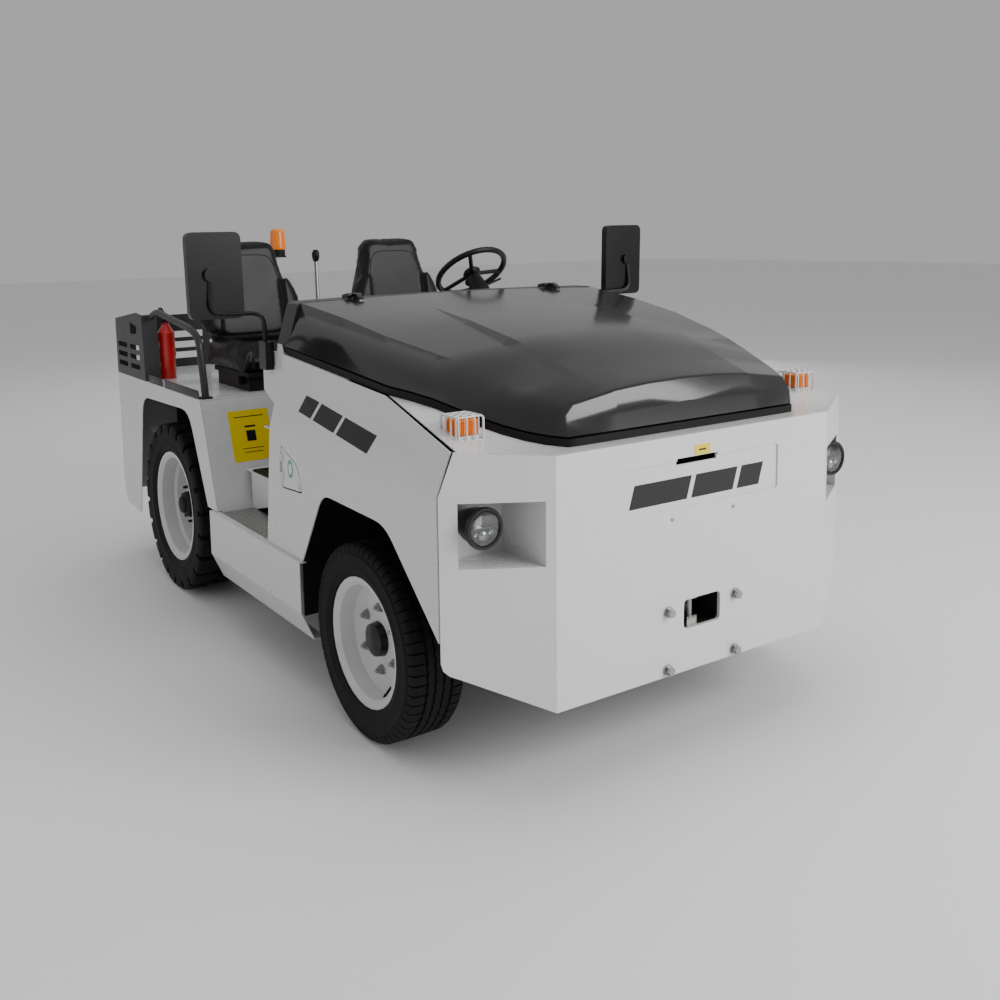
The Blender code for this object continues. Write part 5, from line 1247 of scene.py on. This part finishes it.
@dataclass
class Seat:
    """A bucket seat: two stuffed vinyl pads with sewn seams."""

    place: str
    centre: float
    voxel: float = 0.007
    pressure: float = 4.0
    cap: float = 0.022
    frames: int = 20
    shrink: float = 0.007
    seam: float = 0.0024
    twin: "Seat | None" = None

    def build(self) -> None:
        """Build the cushion and the back with their seams."""
        cushion = self.pad("cushion", Vector((0, 0, -1)))
        back = self.pad("back", Vector((0, 1, 0)))
        self.cushion_seams(cushion)
        self.back_seams(back)

    def pad(self, part: str, rest: Vector) -> bpy.types.Object:
        """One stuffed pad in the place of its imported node.

        Args:
            part: "cushion" or "back".
            rest: The way of the face it rests on.

        Returns:
            The pad.
        """
        node = f"{self.place}_seat_{part}"
        shell = bmesh.new()
        if self.twin:
            shell.from_mesh(bpy.data.objects[f"{self.twin.place}_{part}_pad"].data)
            bmesh.ops.translate(shell, vec=(self.centre - self.twin.centre, 0, 0), verts=shell.verts[:])
        else:
            shell.from_mesh(frame["nodes"][node].data)
            bmesh.ops.remove_doubles(shell, verts=shell.verts[:], dist=WELD)
        piece = settle(f"{self.place}_{part}_pad", shell, VINYL, "chassis", 180.0, outward=False)
        if not self.twin:
            self.reshape(piece, self.remeshed(piece), rest)
            self.swell(piece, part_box(node)[0], rest)
            self.relax(piece)
        sub = piece.modifiers.new("soft_surface", "SUBSURF")
        sub.levels = sub.render_levels = 1
        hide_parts(node)
        return piece

    def remeshed(self, piece: bpy.types.Object) -> bpy.types.Mesh:
        """The piece's mesh as an even net of quads.

        Args:
            piece: The pad.

        Returns:
            The new mesh.
        """
        step = piece.modifiers.new("net", "REMESH")
        step.mode = "VOXEL"
        step.voxel_size = self.voxel
        graph = bpy.context.evaluated_depsgraph_get()
        mesh = bpy.data.meshes.new_from_object(piece.evaluated_get(graph))
        piece.modifiers.clear()
        return mesh

    def reshape(self, piece: bpy.types.Object, mesh: bpy.types.Mesh, rest: Vector) -> None:
        """Put the new net in the piece, drawn in a little from all its sides but the one it rests on.

        Args:
            piece: The pad.
            mesh: The new net.
            rest: The way of the face it rests on.
        """
        normals = [vert.normal.copy() for vert in mesh.vertices]
        for vert, normal in zip(mesh.vertices, normals):
            vert.co -= normal * self.shrink * (0.2 if normal.dot(rest) > 0.7 else 1.0)
        mesh.name = piece.data.name
        mesh.shade_smooth()
        piece.data = mesh

    def swell(self, piece: bpy.types.Object, low: Vector, rest: Vector) -> None:
        """Blow the pad up with cloth pressure, hold its resting face and keep the result.

        Args:
            piece: The pad.
            low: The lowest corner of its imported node.
            rest: The way of the face it rests on.
        """
        start = [vert.co.copy() for vert in piece.data.vertices]
        flat = [vert.normal.dot(rest) > 0.85 for vert in piece.data.vertices]
        cloth = piece.modifiers.new("pressure", "CLOTH")
        cloth.settings.quality = 4
        cloth.settings.use_pressure = True
        cloth.settings.uniform_pressure_force = self.pressure
        cloth.settings.effector_weights.gravity = 0.0
        cloth.settings.bending_stiffness = 0.8
        for frame_number in range(1, self.frames + 1):
            bpy.context.scene.frame_set(frame_number)
        graph = bpy.context.evaluated_depsgraph_get()
        mesh = bpy.data.meshes.new_from_object(piece.evaluated_get(graph))
        piece.modifiers.clear()
        bpy.context.scene.frame_set(1)
        for vert, before, held in zip(mesh.vertices, start, flat):
            move = vert.co - before
            if held:
                move -= rest * move.dot(rest)
            if move.length > self.cap:
                move *= self.cap / move.length
            vert.co = before + move
            vert.co.z = max(vert.co.z, low.z)
        mesh.shade_smooth()
        mesh.name = piece.data.name
        piece.data = mesh

    def relax(self, piece: bpy.types.Object) -> None:
        """Even out the pad's surface.

        Args:
            piece: The pad.
        """
        shell = bmesh.new()
        shell.from_mesh(piece.data)
        for _ in range(6):
            bmesh.ops.smooth_vert(shell, verts=shell.verts[:], factor=0.5, use_axis_x=True, use_axis_y=True,
                                  use_axis_z=True)
        shell.to_mesh(piece.data)
        shell.free()

    def stitched(self, name: str, pad: bpy.types.Object, route: Sequence[Vector], push: Vector) -> None:
        """A sewn seam pressed into a pad along a route.

        Args:
            name: The seam's name.
            pad: The pad it is sewn in.
            route: Its points, in front of the pad.
            push: The way they are pressed onto it.
        """
        tree = surface_of(pad.data)
        points = []
        for first, second in zip(route, route[1:]):
            count = max(2, int((second - first).length / 0.012))
            points += [first.lerp(second, step / count) for step in range(count)]
        points.append(route[-1])
        pressed = []
        for point in points:
            hit = tree.ray_cast(point, push, 0.6)
            if hit[0] is not None:
                pressed.append(hit[0] + push * self.seam * 0.1)
        if len(pressed) > 4:
            settle(name, bar(pressed, self.seam, 8), PIPING, "chassis", 60.0, outward=False)

    def cushion_seams(self, pad: bpy.types.Object) -> None:
        """Sew two seams along the bolsters and one behind the front roll.

        Args:
            pad: The cushion.
        """
        down = Vector((0, 0, -1))
        for sign in (-1, 1):
            x = self.centre + sign * 0.158
            route = curved([at(x + sign * 0.02, 2.205, 1.4), at(x, 2.32, 1.4), at(x - sign * 0.006, 2.58, 1.4)], 0.08)
            self.stitched(f"{self.place}_cushion_seam_{'left' if sign > 0 else 'right'}", pad, route, down)
        front = [at(self.centre - 0.155, 2.30, 1.4), at(self.centre + 0.155, 2.30, 1.4)]
        self.stitched(f"{self.place}_cushion_front_seam", pad, front, down)

    def back_seams(self, pad: bpy.types.Object) -> None:
        """Sew one seam round the back's middle panel.

        Args:
            pad: The back.
        """
        push = Vector((0, 1, 0))
        half = [(0.150, 1.24), (0.168, 1.40), (0.150, 1.54), (0.120, 1.62)]
        corners = [at(self.centre + x, 2.2, z) for x, z in half]
        corners += [at(self.centre - x, 2.2, z) for x, z in reversed(half)]
        self.stitched(f"{self.place}_back_seam", pad, curved(corners, 0.06), push)


@dataclass
class Cab:
    """The floor mat, pedals, instrument panel and treads."""

    def build(self) -> None:
        """Build the cab's small things."""
        mat = block(at(-0.735, 1.43, 0.6853), at(0.735, 1.965, 0.6925), 0.002)
        settle("floor_mat", mat, MAT, "chassis")
        stations = (1.45 + index * 0.0215 for index in range(24))
        ribs = [block(at(-0.70, station, 0.6915), at(0.70, station + 0.007, 0.6945), 0.001, 1) for station in stations]
        settle("floor_mat_ribs", merge(*ribs), MAT, "chassis", outward=False)
        for index, x in enumerate((0.30, 0.52)):
            self.pedal(index, x)
        self.instruments()
        for side in Side:
            self.tread(side)

    def pedal(self, index: int, x: float) -> None:
        """Build a pedal: a rubber pad on a bent arm from the firewall.

        Args:
            index: Its number.
            x: Where it hangs.
        """
        arm = bar(curved([at(x, 1.44, 0.98), at(x, 1.50, 0.90), at(x, 1.52, 0.78)], 0.03), 0.008, 8)
        pad = slab([at(x - 0.035, 1.500, 0.73), at(x + 0.035, 1.500, 0.73), at(x + 0.035, 1.545, 0.80),
                    at(x - 0.035, 1.545, 0.80)], Vector((0, 0.008, -0.005)), 0.003)
        settle(f"pedal_{index}", merge(arm, pad), PLASTIC, "chassis", outward=False)

    def instruments(self) -> None:
        """A small screen and three rocker switches on the dashboard's sloping face."""
        x = 0.08
        face = [at(x, 1.5615, 1.4325), at(x + 0.17, 1.5615, 1.4325), at(x + 0.17, 1.628, 1.366), at(x, 1.628, 1.366)]
        settle("instrument_screen", slab(face, Vector((0, 0.004, 0.004)), 0.0015), SCREEN, "chassis")
        for index in range(3):
            left = -0.28 - index * 0.035
            key = [at(left, 1.575, 1.420), at(left + 0.024, 1.575, 1.420), at(left + 0.024, 1.612, 1.383),
                   at(left, 1.612, 1.383)]
            settle(f"rocker_switch_{index}", slab(key, Vector((0, 0.005, 0.005)), 0.0015), GLOSSY_PLASTIC, "chassis")

    def tread(self, side: Side) -> None:
        """Build the raised lozenges over the step's plate.

        Args:
            side: The vehicle's side.
        """
        sign = side.value
        lozenges = []
        for row in range(26):
            for column in range(5):
                lozenge = bmesh.new()
                bmesh.ops.create_icosphere(lozenge, subdivisions=1, radius=1.0)
                bmesh.ops.scale(lozenge, vec=(0.0115, 0.0042, 0.0016), verts=lozenge.verts[:])
                lean = 45 if (row + column) % 2 else -45
                bmesh.ops.rotate(lozenge, cent=(0, 0, 0), matrix=Matrix.Rotation(math.radians(lean), 3, "Z"),
                                 verts=lozenge.verts[:])
                spot = at(sign * (0.757 + column * 0.0285), 1.36 + row * 0.0225, 0.5231)
                bmesh.ops.translate(lozenge, vec=spot, verts=lozenge.verts[:])
                lozenges.append(lozenge)
        settle(f"step_lozenges_{side.label}", merge(*lozenges), TREAD_STEEL, "chassis", 60.0, outward=False)


@dataclass
class DeckTrim:
    """Dark strips along the deck's edges."""

    face: float = 0.8975
    spans: tuple[tuple[float, float], ...] = ((2.15, 2.62), (2.66, 2.87))

    def build(self) -> None:
        """Lay the strips on both edges."""
        for side in Side:
            for index, (front, rear) in enumerate(self.spans):
                x = side.value * self.face
                outline = [at(x, front, 0.9985), at(x, rear, 0.9985), at(x, rear, 1.036), at(x, front + 0.02, 1.036)]
                strip = slab(outline, Vector((-side.value * 0.006, 0, 0)), 0.0015)
                settle(f"deck_trim_{side.label}_{index}", strip, GUARD, "chassis", outward=False)


@dataclass
class Fasteners:
    """Screws and clips on the bodywork."""

    def build(self) -> None:
        """Build the small screws, the tow pin's ring and the flap's catch."""
        front = Vector((0, -1, 0))
        for index, x in enumerate((-0.138, 0.138)):
            seat = at(x, 0.0, 0.806)
            screw = turn([(0.0, 0.0038), (0.004, 0.0036), (0.0062, 0.002), (0.0068, 0.0), (0.0, 0.0)], seat, front, 16)
            settle(f"plate_screw_{index}", screw, STEEL, "chassis", outward=False)
        turns = (index * math.pi / 12 for index in range(24))
        ring = bar([at(-0.035 + math.cos(angle) * 0.026, 0.075, 0.482 + math.sin(angle) * 0.032) for angle in turns],
                   0.0085, 10, closed=True)
        settle("tow_pin_ring", ring, STEEL, "chassis", 60.0, outward=False)
        catch = turn([(0.0, 0.004), (0.006, 0.004), (0.009, 0.0015), (0.009, 0.0), (0.0, 0.0)],
                     at(-0.9095, 1.118, 0.800), Vector((-1, 0, 0)), 20)
        settle("flap_catch", catch, CHROME, "charge_flap", outward=False)


@dataclass
class Studio:
    """The floor, the lights and the camera."""

    camera_at: Point = (-2.482, -4.066, 1.718)
    yaw: float = -32.54
    pitch: float = -7.65
    roll: float = -1.08
    lens: float = 37.90
    shift: tuple[float, float] = (0.0603, -0.1269)
    daylight: float = 0.44

    def build(self) -> None:
        """Set up the floor, the lights, the world and the camera."""
        self.floor()
        self.world()
        self.light("key_softbox", (3.6, -7.6, 4.4), (0.0, -0.6, 0.7), 5.0, 640.0)
        self.light("side_softbox", (-7.5, 1.5, 3.6), (0.0, 0.2, 0.6), 4.5, 45.0)
        self.light("top_softbox", (0.5, 0.2, 7.0), (0.0, 0.3, 0.6), 8.0, 190.0, False)
        self.light("rear_softbox", (5.6, 6.6, 3.0), (0.0, 0.8, 0.9), 6.0, 110.0, False)
        self.camera()

    def floor(self) -> None:
        """A plain pale floor under the wheels."""
        shell = bmesh.new()
        bmesh.ops.create_grid(shell, x_segments=1, y_segments=1, size=40.0)
        mesh = bpy.data.meshes.new("studio_floor")
        shell.to_mesh(mesh)
        shell.free()
        mesh.materials.append(CONCRETE.material())
        floor = bpy.data.objects.new("studio_floor", mesh)
        bpy.context.scene.collection.objects.link(floor)

    def world(self) -> None:
        """Even pale light from all round."""
        world = bpy.data.worlds.new("studio_world")
        world.use_nodes = True
        background = world.node_tree.nodes["Background"]
        background.inputs["Color"].default_value = (1.0, 1.0, 1.0, 1.0)
        background.inputs["Strength"].default_value = self.daylight
        bpy.context.scene.world = world

    def light(self, name: str, place: Point, target: Point, size: float, power: float,
              glossy: bool = True) -> None:
        """One square softbox aimed at a point.

        Args:
            name: The light's name.
            place: Where it hangs.
            target: What it is aimed at.
            size: The length of its side.
            power: Its power in watts.
            glossy: Whether gloss shows it.
        """
        data = bpy.data.lights.new(name, "AREA")
        data.size = size
        data.energy = power
        lamp = bpy.data.objects.new(name, data)
        lamp.location = place
        lamp.rotation_euler = (Vector(target) - Vector(place)).to_track_quat("-Z", "Y").to_euler()
        lamp.visible_glossy = glossy
        bpy.context.scene.collection.objects.link(lamp)

    def camera(self) -> None:
        """The camera, in front of the right corner a little over the hood's height."""
        data = bpy.data.cameras.new("studio_camera")
        data.sensor_width = 36.0
        data.lens = self.lens
        data.shift_x, data.shift_y = self.shift
        data.clip_end = 200.0
        yaw, pitch, roll = (math.radians(value) for value in (self.yaw, self.pitch, self.roll))
        forward = Vector((-math.sin(yaw) * math.cos(pitch), math.cos(yaw) * math.cos(pitch), math.sin(pitch)))
        right = forward.cross(Vector((0, 0, 1))).normalized()
        up = right.cross(forward)
        right, up = math.cos(roll) * right + math.sin(roll) * up, math.cos(roll) * up - math.sin(roll) * right
        camera = bpy.data.objects.new("studio_camera", data)
        camera.matrix_world = Matrix.Translation(self.camera_at) @ Matrix((right, up, -forward)).transposed().to_4x4()
        bpy.context.scene.collection.objects.link(camera)
        bpy.context.scene.camera = camera


SubAssembly = (Bodywork | Tyre | WheelFittings | CornerLamp | Headlight | Seat | Cab | DeckTrim | Fasteners
               | Decals | Studio)


def sub_assemblies() -> list[SubAssembly]:
    """Every sub-assembly with its sizes.

    Returns:
        The sub-assemblies, in the order they are built.
    """
    replaced = [f"{place}_seat_{part}" for place in ("driver", "passenger") for part in ("cushion", "back")]
    replaced += [f"{stem}_{side.label}" for side in Side
                 for stem in ("front_tyre", "rear_tyre", "corner_lamp", "headlight")]
    makers: list[SubAssembly] = [Bodywork(replaced_elsewhere=tuple(replaced))]
    for side in Side:
        makers += [Tyre(side, FRONT_AXLE), Tyre(side, REAR_AXLE), CornerLamp(side), Headlight(side),
                   WheelFittings(side, FRONT_AXLE), WheelFittings(side, REAR_AXLE)]
    driver = Seat("driver", 0.425)
    return [*makers, driver, Seat("passenger", -0.425, twin=driver), Cab(), DeckTrim(), Fasteners(), Decals(),
            Studio()]


def write_sizes() -> None:
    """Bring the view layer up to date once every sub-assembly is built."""
    bpy.context.view_layer.update()


def main() -> None:
    """Build every sub-assembly in order."""
    for maker in sub_assemblies():
        maker.build()
        log.info("%s built", type(maker).__name__)


if __name__ == "__main__":
    main()
    write_sizes()
